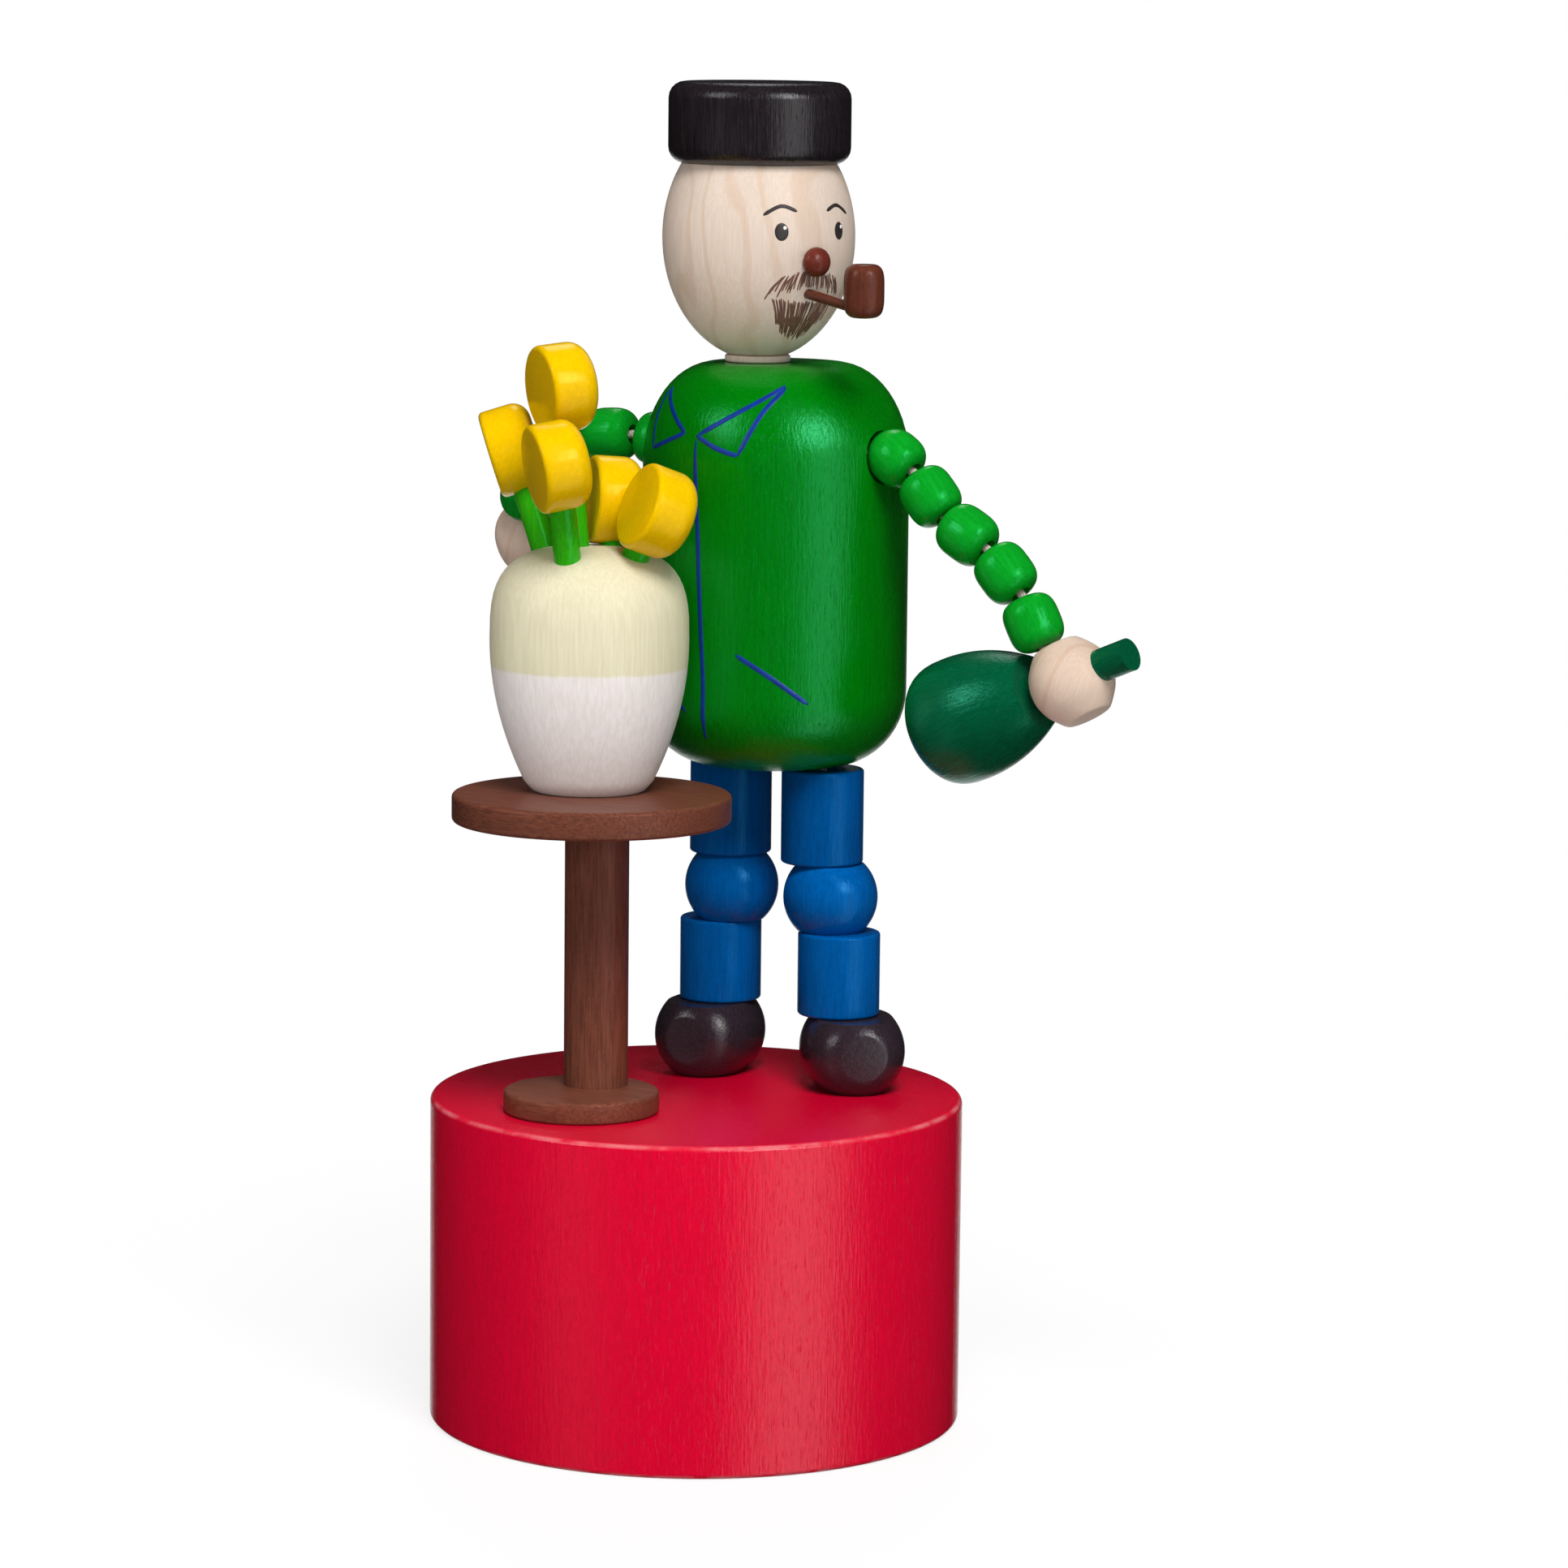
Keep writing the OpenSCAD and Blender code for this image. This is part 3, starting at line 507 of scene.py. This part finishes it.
vase_foot = centre_line("vase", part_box("vase")[0].z)
dress("vase", two_tone_wood("vase paint", CREAM, WHITE, vase_foot, VASE_EDGE))
stem_paint = stained_wood("stem paint", STEM_GREEN, ORIGIN, contrast=0.15, roughness=0.15,
                          tint=GREEN_GLOSS)
for i in FLOWERS:
    flower = f"flower_head_{i}"
    dress(f"flower_stem_{i}", stem_paint)
    dress(flower, stained_wood(f"flower paint {i}", YELLOW, middle(flower), FLOWER_GRAIN, **FLOWER_LOOK))

# Legs and shoes

SHOE_GRAIN = (0.6, -0.8, 0)
SHOE_LOOK = dict(contrast=0.25, roughness=0.16, depth=0.1)
LEG_LOOK = dict(contrast=0.18, roughness=0.18, depth=0.1, tint=BLUE_GLOSS)
# Painted shade: lit and shaded copies of one blue, the thighs darker for the body's shadow over them and
# the knees a little lighter
LEG_PAINTED_SHADES = {"shin": 1.0, "knee": 1.04, "thigh": 0.8}

for side in SIDES:
    shoe = f"{side}_shoe"
    dress(shoe, stained_wood(f"{side} shoe stain", SHOE, middle(shoe), SHOE_GRAIN, **SHOE_LOOK))
    for piece, painted_shade in LEG_PAINTED_SHADES.items():
        node = f"{side}_{piece}"
        dress(node, stained_wood(f"{side} {piece} paint", shaded(BLUE, painted_shade), middle(node), **LEG_LOOK))

# Body, head and hat

dress("torso", stained_wood("coat paint", GREEN, middle("torso"), contrast=0.12, roughness=0.22,
                            depth=0.14, gloss=1.0, tint=GREEN_GLOSS))
dress("neck_collar", natural_wood("collar wood", middle("neck_collar")))
dress("head", natural_wood("head wood", middle("head")))
dress("nose", stained_wood("nose stain", NOSE_BROWN, middle("nose"), contrast=0.15, roughness=0.22,
                           gloss=0.3))
dress("hat", stained_wood("hat paint", BLACK, middle("hat"), contrast=0.45, roughness=0.16, depth=0.14))
pipe_stain = stained_wood("pipe stain", PIPE_BROWN, middle("pipe_bowl"), contrast=0.25, roughness=0.28,
                          gloss=0.25)
dress("pipe_stem", pipe_stain)
dress("pipe_bowl", pipe_stain)

# Arms, hands and bottle

BEAD_LOOK = dict(contrast=0.16, roughness=0.16, depth=0.12, tint=GREEN_GLOSS)
BOTTLE_LOOK = dict(contrast=0.16, roughness=0.2, depth=0.16, gloss=0.8, tint=BOTTLE_GLOSS)
HAND_GRAIN = (0.3, 0.2, 1)

for side in SIDES:
    chain = arm_joints(side)
    for i in BEADS:
        bead = f"{side}_bead_{i}"
        along = chain[i] - chain[i - 1]
        dress(bead, stained_wood(f"{side} bead paint {i}", BEAD_GREEN, middle(bead), along, **BEAD_LOOK))
    hand = f"{side}_hand"
    dress(hand, natural_wood(f"{side} hand wood", middle(hand), HAND_GRAIN, HAND_WOOD, HAND_YEAR_LINE))
neck_low, neck_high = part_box("bottle_neck")
bottle_axis = Vector((neck_high.x - neck_low.x, 0, neck_high.z - neck_low.z))
bottle_paint = stained_wood("bottle paint", BOTTLE_GREEN, middle("bottle_body"), bottle_axis, **BOTTLE_LOOK)
dress("bottle_body", bottle_paint)
dress("bottle_neck", bottle_paint)


# Lines drawn on turned wood

class Turned:
    """A turned part to draw on, by angle in degrees and height in millimetres above its foot."""

    RAY_START = 0.05  # metres from the axis, outside the turned parts

    def __init__(self, node, centre, foot):
        self.tree = BVHTree.FromObject(nodes[node], bpy.context.evaluated_depsgraph_get())
        self.centre = centre
        self.foot = foot

    def at(self, angle, height):
        """Place and normal of the surface."""
        turn = math.radians(angle)
        out = Vector((math.cos(turn), math.sin(turn), 0))
        start = Vector((self.centre.x, self.centre.y, self.foot + height * MM)) + out * self.RAY_START
        place, normal, _, _ = self.tree.ray_cast(start, -out)
        return place, normal


def smooth_path(points, steps):
    """Points on a smooth curve, a Catmull-Rom spline, through the given ones."""
    if len(points) == 2:
        points = [points[0], [(a + b) / 2 for a, b in zip(*points)], points[1]]
    ends = [points[0]] + list(points) + [points[-1]]
    path = []
    for i in range(1, len(ends) - 2):
        for k in range(steps):
            t = k / steps
            path.append([0.5 * (2 * b + (c - a) * t + (2 * a - 5 * b + 4 * c - d) * t * t
                                + (3 * b - a - 3 * c + d) * t ** 3)
                         for a, b, c, d in zip(*ends[i - 1:i + 3])])
    path.append(list(points[-1]))
    return path


# A pen line's section: shares of its half width, and heights over the wood in millimetres
SUNK = -0.06
PEN_SECTION = ((-1.0, SUNK), (-0.75, 0.012), (0.0, 0.03), (0.75, 0.012), (1.0, SUNK))
PEN_STEPS = 14

# Its ends: their share of the full width, and the share of its length that they taper over
PEN_TIP = 0.35
PEN_TAPER = 0.12


def pen_line(turned, points, width, verts, faces):
    """Adds one low ribbon that follows the surface to the lists of verts and faces."""
    spots = [turned.at(*p) for p in smooth_path(points, PEN_STEPS)]
    count = len(spots)
    first = len(verts)
    for i, (place, normal) in enumerate(spots):
        along = (spots[min(i + 1, count - 1)][0] - spots[max(i - 1, 0)][0]).normalized()
        across = normal.cross(along)
        share = min(i, count - 1 - i) / (count - 1)
        half = width / 2 * (PEN_TIP + (1 - PEN_TIP) * min(1.0, share / PEN_TAPER)) * MM
        verts.extend(place + across * (u * half) + normal * (h * MM) for u, h in PEN_SECTION)
    size = len(PEN_SECTION)
    for i in range(count - 1):
        for k in range(size - 1):
            a = first + i * size + k
            faces.append((a, a + 1, a + 1 + size, a + size))
    faces.append(tuple(first + k for k in range(size - 1, -1, -1)))
    faces.append(tuple(first + (count - 1) * size + k for k in range(size)))


def drawn(name, turned, lines, width, body, material):
    """One object of several pen lines."""
    verts, faces = [], []
    for line in lines:
        pen_line(turned, line, width, verts, faces)
    obj = new_object(name, verts, faces)
    obj.data.materials.append(material)
    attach(obj, body)


COAT_PEN = 0.62
COAT_LINES = {
    "coat_front": [[(-91, 32.6), (-89.2, 25), (-87.1, 15.6), (-85.4, 8.5), (-86.5, 3.6)]],
    "coat_left_lapel": [[(-91, 33), (-70, 35.6), (-49, 37.9)],
                        [(-49, 37.7), (-61, 35.2), (-70.5, 31.3)],
                        [(-70.5, 31.3), (-80, 31.9), (-91, 33)]],
    "coat_right_lapel": [[(-98, 33.2), (-112, 35.2), (-128, 37.2)],
                         [(-128, 37.0), (-126, 34.6), (-121, 31.4)],
                         [(-121, 31.4), (-110, 32.2), (-98, 33.2)]],
    "coat_left_pocket": [[(-70.3, 12.1), (-56, 10.1), (-39.1, 7.4)]],
    "coat_right_pocket": [[(-128, 12.3), (-111, 9.6), (-95, 6.2)]],
}

torso_low, torso_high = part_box("torso")
coat = Turned("torso", middle("torso"), torso_low.z)
blue_ink = ink("blue ink", INK_BLUE)
for name, lines in COAT_LINES.items():
    drawn(name, coat, lines, COAT_PEN, "torso", blue_ink)

# Face of a plain wooden figure, on its own proportions, in degrees round the head and millimetres

FACE_ANGLE = -19.0
HEAD_R = 9.2
DEGREES_PER_MM = math.degrees(1 / HEAD_R)
DOT_RINGS = 5
DOT_SIDES = 28
EYE_HEIGHT = 12.3
EYE_SPREAD = 21.0
EYE_SIZE = (0.78, 1.0)
EYE_RISE = 0.03
GLINT_TURN = 2.0
GLINT_LIFT = 0.38
GLINT_SIZE = (0.2, 0.22)
GLINT_RISE = 0.05
BROW_HEIGHT = 14.4
BROW = ((-10, -0.15), (0, 0.35), (11, -0.5))
BROW_PEN = 0.46

head_axis = joint_at["head_turn"]
face = Turned("head", head_axis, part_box("head")[0].z)
dark_ink = ink("dark ink", INK_DARK)
brown_ink = ink("brown ink", INK_BROWN)
glint = ink("eye glint", EYE_GLINT)


def dot(name, turned, angle, height, size, rise, material):
    """Low painted oval on the surface of the head."""
    verts, faces = [], []
    for ring in range(DOT_RINGS + 1):
        share = 1 - ring / DOT_RINGS
        lift = SUNK if ring == 0 else rise
        for k in range(DOT_SIDES):
            turn = 2 * math.pi * k / DOT_SIDES
            place, normal = turned.at(angle + size[0] * share * math.cos(turn) * DEGREES_PER_MM,
                                      height + size[1] * share * math.sin(turn))
            verts.append(place + normal * (lift * MM))
    for ring in range(DOT_RINGS - 1):
        for k in range(DOT_SIDES):
            a, b = ring * DOT_SIDES + k, ring * DOT_SIDES + (k + 1) % DOT_SIDES
            faces.append((a, b, b + DOT_SIDES, a + DOT_SIDES))
    last = (DOT_RINGS - 1) * DOT_SIDES
    tip = len(verts) - DOT_SIDES
    faces.extend((last + k, last + (k + 1) % DOT_SIDES, tip) for k in range(DOT_SIDES))
    obj = new_object(name, verts[:tip + 1], faces)
    obj.data.materials.append(material)
    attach(obj, "head")


for side, sign in zip(SIDES, (1, -1)):
    eye = FACE_ANGLE + sign * EYE_SPREAD
    dot(f"{side}_eye", face, eye, EYE_HEIGHT, EYE_SIZE, EYE_RISE, dark_ink)
    dot(f"{side}_eye_glint", face, eye + GLINT_TURN, EYE_HEIGHT + GLINT_LIFT, GLINT_SIZE, GLINT_RISE,
        glint)
    brow = [(eye + sign * turn, BROW_HEIGHT + lift) for turn, lift in BROW]
    drawn(f"{side}_brow", face, [brow], BROW_PEN, "head", dark_ink)

# How much the strokes of the brush differ, in degrees, millimetres and shares of their length
STROKE_SHIFT = 0.8
STROKE_LIFT = 0.25
STROKE_LENGTHS = (0.8, 1.15)
STROKE_LEAN = 1.2
STROKE_BEND = 0.6
HAIR_PEN = 0.19
HAIR = {
    "moustache": dict(count=46, spread=22.0, top=8.5, arch=-0.9, length=1.6, fan=7.0),
    "beard": dict(count=52, spread=26.0, top=5.4, arch=0.5, length=2.3, fan=-4.0),
    "beard_under": dict(count=40, spread=19.0, top=3.9, arch=0.4, length=1.9, fan=-4.0),
}


def hair_strokes(count, spread, top, arch, length, fan):
    """Short brush strokes side by side, each a little different."""
    strokes = []
    for i in range(count):
        t = 2 * i / (count - 1) - 1
        angle = FACE_ANGLE + spread * t + random.uniform(-STROKE_SHIFT, STROKE_SHIFT)
        high = top + arch * t * t + random.uniform(-STROKE_LIFT, STROKE_LIFT)
        low = high - length * random.uniform(*STROKE_LENGTHS)
        lean = fan * t + random.uniform(-STROKE_LEAN, STROKE_LEAN)
        strokes.append([(angle, high), (angle + lean * STROKE_BEND, (high + low) / 2), (angle + lean, low)])
    return strokes


for name, shape in HAIR.items():
    drawn(name, face, hair_strokes(**shape), HAIR_PEN, "head", brown_ink)


# Round pieces along a path

TUBE_SIDES = 12
DOME = (25, 50, 75)  # degrees round the end of a tube


def swept(name, rows, sides):
    """Closed round skin through rows of (centre, radius)."""
    verts, faces = [], []
    side = (rows[1][0] - rows[0][0]).orthogonal().normalized()
    last = len(rows) - 1
    for i, (point, reach) in enumerate(rows):
        along = (rows[min(i + 1, last)][0] - rows[max(i - 1, 0)][0]).normalized()
        side = (side - along * side.dot(along)).normalized()
        other = along.cross(side)
        for k in range(sides):
            turn = 2 * math.pi * k / sides
            verts.append(point + (side * math.cos(turn) + other * math.sin(turn)) * reach)
    for i in range(last):
        for k in range(sides):
            a, b = i * sides + k, i * sides + (k + 1) % sides
            faces.append((a, b, b + sides, a + sides))
    faces.append(tuple(range(sides - 1, -1, -1)))
    faces.append(tuple(range(len(verts) - sides, len(verts))))
    return new_object(name, verts, faces)


def tube(name, path, radius, sides=TUBE_SIDES, domed=False):
    """Closed round tube along a path, with flat or round ends."""
    rows = [(point, radius) for point in path]
    if domed:
        outward = (path[0] - path[1]).normalized(), (path[-1] - path[-2]).normalized()
        for lift in (math.radians(d) for d in DOME):
            rows.insert(0, (path[0] + outward[0] * radius * math.sin(lift), radius * math.cos(lift)))
            rows.append((path[-1] + outward[1] * radius * math.sin(lift), radius * math.cos(lift)))
    return swept(name, rows, sides)


# Cords, cut where the strung pieces bend

CORD_R = 0.45 * MM
CORD_STEPS = 10
KNOT_STEPS = 60
KNOT_SIZE = 0.26 * MM
KNOT_HEIGHT = 1.2
KNOT_R = 0.34 * MM
KNOT_SIDES = 8

# The cords' route: a share of the way across the body, then distances from joints, faces and ground
CROSSING_SHARE = 0.3
CROSSING_DROP = 2 * MM
HIP_RISE = 4 * MM
THIGH_END = 2 * MM
KNEE_REACH = 3 * MM
ANKLE_STEPS = (4 * MM, 0, -4 * MM, -10 * MM)
ROOF_RISE = 4 * MM
HOLLOW_MIDDLE = 16 * MM
BUTTON_DEPTH = 2 * MM
BUTTON_KNOT = 1.1 * MM
HAND_KNOT = 2.6 * MM
NECK_REACH = 5 * MM

cord_look = twisted_cord("cotton cord")
shoulder_z = joint_at["left_arm_swing"].z
shoulder_middle = centre_line("torso", shoulder_z)
button_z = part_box("push_button")[0].z


def cord_piece(name, points, replaced=None, domed=False):
    """Stretch of cord through two or more points."""
    path = [Vector(p) for p in smooth_path([tuple(p) for p in points], CORD_STEPS)]
    obj = tube(name, path, CORD_R, domed=domed)
    obj.data.materials.append(cord_look)
    if replaced:
        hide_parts(replaced)
    return obj


def knot(name, place, body):
    """Small overhand knot along a trefoil curve."""
    turns = [2 * math.pi * k / KNOT_STEPS for k in range(KNOT_STEPS + 1)]
    path = [place + Vector((math.sin(t) + 2 * math.sin(2 * t), math.cos(t) - 2 * math.cos(2 * t),
                            -KNOT_HEIGHT * math.sin(3 * t))) * KNOT_SIZE for t in turns]
    obj = tube(name, path, KNOT_R, KNOT_SIDES)
    obj.data.materials.append(cord_look)
    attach(obj, body)


def arm_cord(side):
    """Stretches 1 to 7, from the body to the hand, each on the piece that it runs through."""
    riders = ["torso", *(f"{side}_bead_{i}" for i in BEADS), f"{side}_hand"]
    stops = [shoulder_middle, *arm_joints(side), middle(f"{side}_hand")]
    for i, rider in enumerate(riders):
        replaced = f"{side}_cord" if i == 0 else None
        piece = cord_piece(f"{side}_cord_{i + 1}", stops[i:i + 2], replaced, domed=True)
        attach(piece, rider)


def leg_cord(side, leg):
    """Stretches 8 to 12, across the body, down the other leg and through the drum to the button."""
    thigh, knee, shin = (f"{leg}_{piece}" for piece in ("thigh", "knee", "shin"))
    hip_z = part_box(thigh)[1].z
    top = centre_line(thigh, hip_z + HIP_RISE)
    across = [shoulder_middle + (top - shoulder_middle) * CROSSING_SHARE,
              Vector((top.x, top.y, shoulder_z - CROSSING_DROP)), top]
    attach(cord_piece(f"{side}_cord_8", across), "torso")

    thigh_start = [centre_line(thigh, hip_z + THIGH_END)]
    knee_joints = ((9, thigh, knee, "knee_upper", thigh_start), (10, knee, shin, "knee_lower", []))
    for number, upper, lower, joint, start in knee_joints:
        level = joint_at[f"{leg}_{joint}"].z
        high = centre_line(upper, level + KNEE_REACH)
        low = centre_line(lower, level - KNEE_REACH)
        crossing = (high + low) / 2
        piece = cord_piece(f"{side}_cord_{number}", [*start, high, crossing, low])
        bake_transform(piece)

    ankle_z = joint_at[f"{leg}_ankle"].z
    foot = [centre_line(shin, ankle_z + step) for step in ANKLE_STEPS]
    piece = cord_piece(f"{side}_cord_11", foot)
    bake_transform(piece)

    heights = (CAVITY_TOP * MM + ROOF_RISE, HOLLOW_MIDDLE, button_z + BUTTON_DEPTH)
    drop = [centre_line(shin, height) for height in heights]
    piece = cord_piece(f"{side}_cord_12", drop)
    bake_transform(piece)
    knot(f"{side}_cord_knot", centre_line(shin, button_z + BUTTON_KNOT), "button")


for side, leg in zip(SIDES, reversed(SIDES)):
    arm_cord(side)
    leg_cord(side, leg)

hand_out = (middle("right_hand") - joint_at["right_wrist"]).normalized()
knot("right_hand_knot", middle("right_hand") + hand_out * HAND_KNOT, "right_hand")
neck_heights = (torso_high.z - NECK_REACH, joint_at["neck_nod"].z, head_axis.z + NECK_REACH)
neck_points = [Vector((head_axis.x, head_axis.y, height)) for height in neck_heights]
neck_piece = cord_piece("head_cord_1", neck_points, "head_cord")
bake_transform(neck_piece)

# Left hand, a short barrel with flat ends, nearly in line with the last bead

HAND_R = 4.1 * MM
HAND_HALF = 3.85 * MM
HAND_SLOPE = math.radians(58)
HAND_PROFILE = ((-1.0, 0.02), (-0.998, 0.3), (-0.985, 0.47), (-0.92, 0.6), (-0.55, 0.87), (-0.25, 0.975))
HAND_STEPS = 6
HAND_SIDES = 48


def barrel_hand(name, node):
    """Turned hand. Its profile gives shares of the half length and the radius, up to the widest place."""
    centre = middle(node)
    along = Vector((math.cos(HAND_SLOPE), 0, -math.sin(HAND_SLOPE)))
    outline = [*HAND_PROFILE, (0.0, 1.0), *((-z, r) for z, r in reversed(HAND_PROFILE))]
    rows = [(centre + along * (z * HAND_HALF), r * HAND_R) for z, r in smooth_path(outline, HAND_STEPS)]
    obj = swept(name, rows, HAND_SIDES)
    obj.data.materials.append(nodes[node].data.materials[0])
    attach(obj, node)
    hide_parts(node)
    return obj


left_hand = barrel_hand("left_hand_barrel", "left_hand")

# Return spring

SPRING_R = 7.5 * MM
WIRE_R = 0.45 * MM
SPRING_CURLS = 6
STEPS_PER_CURL = 40

spring_low, spring_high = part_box("push_spring")
steps = SPRING_CURLS * STEPS_PER_CURL
coil = []
for k in range(steps + 1):
    turn = 2 * math.pi * SPRING_CURLS * k / steps
    lift = spring_low.z + WIRE_R + (spring_high.z - spring_low.z - 2 * WIRE_R) * k / steps
    coil.append(Vector((SPRING_R * math.cos(turn), SPRING_R * math.sin(turn), lift)))
spring = tube("return_spring", coil, WIRE_R)
spring.data.materials.append(spring_steel("spring steel"))
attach(spring, "base")
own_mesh(spring)
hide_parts("push_spring")

# Floor

FLOOR_WIDTH = 12
FLOOR_ROUGHNESS = 0.9

# Between two distances from the middle, the camera's share of plain white rises to one
SHADOW_NEAR = 0.03
SHADOW_FAR = 0.16
SHADOW_GLOW = 0.8


def floor():
    """White ground that keeps the toy's shadow and is left out of reflections."""
    bpy.ops.mesh.primitive_plane_add(size=FLOOR_WIDTH)
    plane = bpy.context.object
    plane.name = "floor"
    plane.visible_glossy = False
    shader = Shader("pale floor")
    tree = shader.tree
    rays = shader.add("ShaderNodeLightPath").outputs
    ground = shader.mix(rays["Is Diffuse Ray"], FLOOR_WHITE, FLOOR_BOUNCE)
    shader.put(shader.surface, "Base Color", ground)
    shader.put(shader.surface, "Roughness", FLOOR_ROUGHNESS)
    glow = shader.add("ShaderNodeEmission", {"Color": PURE_WHITE, "Strength": 1.0})
    radius, _ = shader.radius_and_height(shader.add("ShaderNodeTexCoord").outputs["Object"])
    fade = shader.span(radius, low=SHADOW_NEAR, high=SHADOW_FAR, to_low=SHADOW_GLOW)
    blend = shader.add("ShaderNodeMixShader", {"Fac": shader.math("MULTIPLY", rays["Is Camera Ray"], fade)})
    tree.links.new(shader.surface.outputs[0], blend.inputs[1])
    tree.links.new(glow.outputs[0], blend.inputs[2])
    tree.links.new(blend.outputs[0], tree.nodes["Material Output"].inputs["Surface"])
    plane.data.materials.append(shader.material)


# Light, with azimuth 0 in front of the toy and angles in degrees

AMBIENT = 0.10
DARK_ROOM = 0.01

# Azimuth, elevation, half width, half height, soft edge, strength
MIRRORED_PANELS = (
    (81, -12, 19, 40, 4, 1.3),
    (74, 30, 10, 12, 4, 8.0),
    (-17, -22, 7, 24, 6, 0.3),
    (-20, 30, 9, 12, 4, 5.0),
    (-143, -34, 13, 26, 4, 1.0),
    (-143, 46, 9, 12, 4, 2.0),
)

# Name, azimuth, elevation, distance, width and height, power
STUDIO_LAMPS = (
    ("front softbox", 50, 54, 1.2, (0.5, 0.5), 16.5),
    ("low softbox", 40, 8, 1.1, (0.6, 0.4), 2.2),
    ("right softbox", 80, 10, 1.1, (0.7, 1.0), 0.9),
    ("left softbox", -24, 25, 1.1, (0.4, 0.6), 1.5),
    ("rear softbox", -143, 32, 1.1, (0.5, 0.5), 4.0),
)
PALE_FILLS = (
    ("pale left fill", -50, -3, 0.6, (0.4, 0.3), 1.1),
    ("pale right fill", 118, -3, 0.6, (0.4, 0.3), 0.7),
    ("pale low fill", 35, -4, 0.5, (0.4, 0.2), 0.8),
)
PALE_WOODS = [left_hand] + [nodes[n] for n in ("head", "neck_collar", "right_hand", "vase")]
LAMP_AIM = Vector((0, 0, 0.065))


class Panels(Shader):
    """World whose reflections show bright studio panels."""

    def __init__(self, name):
        self.world = bpy.data.worlds.new(name)
        self.world.use_nodes = True
        self.tree = self.world.node_tree
        x, y, z = self.split(self.add("ShaderNodeTexCoord").outputs["Generated"])
        self.azimuth = self.math("ARCTAN2", x, self.math("MULTIPLY", y, -1.0))
        self.elevation = self.math("ARCSINE", z)

    def panel(self, azimuth, elevation, half_width, half_height, edge, strength):
        """Brightness of one rectangle of the sky."""
        sides = ((self.azimuth, azimuth, half_width), (self.elevation, elevation, half_height))
        shares = []
        for angle, centre, half in sides:
            away = self.math("ABSOLUTE", self.math("SUBTRACT", angle, math.radians(centre)))
            shares.append(self.span(away, low=math.radians(half + edge), high=math.radians(half - edge)))
        return self.math("MULTIPLY", self.math("MULTIPLY", *shares), strength)


def studio_world():
    """White behind the toy, dim light from all sides, panels in reflections."""
    sky = Panels("studio")
    bpy.context.scene.world = sky.world
    rays = sky.add("ShaderNodeLightPath").outputs
    seen = sky.math("MAXIMUM", rays["Is Camera Ray"], rays["Is Transmission Ray"])
    mirrored = DARK_ROOM
    for panel in MIRRORED_PANELS:
        mirrored = sky.math("ADD", sky.panel(*panel), mirrored)
    mirrored = sky.math("MULTIPLY", mirrored, rays["Is Glossy Ray"])
    around = sky.math("MULTIPLY", rays["Is Diffuse Ray"], AMBIENT)
    strength = sky.math("MAXIMUM", seen, sky.math("ADD", mirrored, around))
    background = sky.tree.nodes["Background"]
    sky.put(background, "Color", PURE_WHITE)
    sky.put(background, "Strength", strength)


def softbox(name, azimuth, elevation, distance, size, power, only=()):
    """Rectangular lamp aimed at the middle of the toy, for all parts or for some only."""
    turn, lift = math.radians(azimuth), math.radians(elevation)
    away = Vector((math.sin(turn) * math.cos(lift), -math.cos(turn) * math.cos(lift), math.sin(lift)))
    light = bpy.data.lights.new(name, "AREA")
    light.shape = "RECTANGLE"
    light.size, light.size_y = size
    light.energy = power
    lamp = bpy.data.objects.new(name, light)
    bpy.context.scene.collection.objects.link(lamp)
    lamp.location = LAMP_AIM + away * distance
    lamp.rotation_euler = (-away).to_track_quat("-Z", "Y").to_euler()
    lamp.visible_glossy = False
    if only:
        lit = bpy.data.collections.new(name)
        for obj in only:
            lit.objects.link(obj)
        lamp.light_linking.receiver_collection = lit


# Camera at the photograph's angle, its focal length in picture widths

SENSOR_WIDTH = 36.0
FOCAL_WIDTHS = 3.7161
CLIP_START = 0.01
CAMERA_PLACE = (0.33702, -0.44724, 0.14293)
CAMERA_FORWARD = (-0.58404, 0.79922, -0.14192)
CAMERA_RIGHT = (0.80645, 0.5912, 0.01059)


def camera():
    """Camera from its place and two of its directions."""
    data = bpy.data.cameras.new("camera")
    data.sensor_width = SENSOR_WIDTH
    data.lens = SENSOR_WIDTH * FOCAL_WIDTHS
    data.clip_start = CLIP_START
    cam = bpy.data.objects.new("camera", data)
    bpy.context.scene.collection.objects.link(cam)
    forward = Vector(CAMERA_FORWARD).normalized()
    right = Vector(CAMERA_RIGHT).normalized()
    up = right.cross(forward)
    turn = Matrix((right, up, -forward)).transposed().to_4x4()
    cam.matrix_world = Matrix.Translation(CAMERA_PLACE) @ turn
    bpy.context.scene.camera = cam


floor()
studio_world()
for lamp in STUDIO_LAMPS:
    softbox(*lamp)
for lamp in PALE_FILLS:
    softbox(*lamp, PALE_WOODS)
camera()
bpy.context.scene.view_settings.view_transform = "Standard"
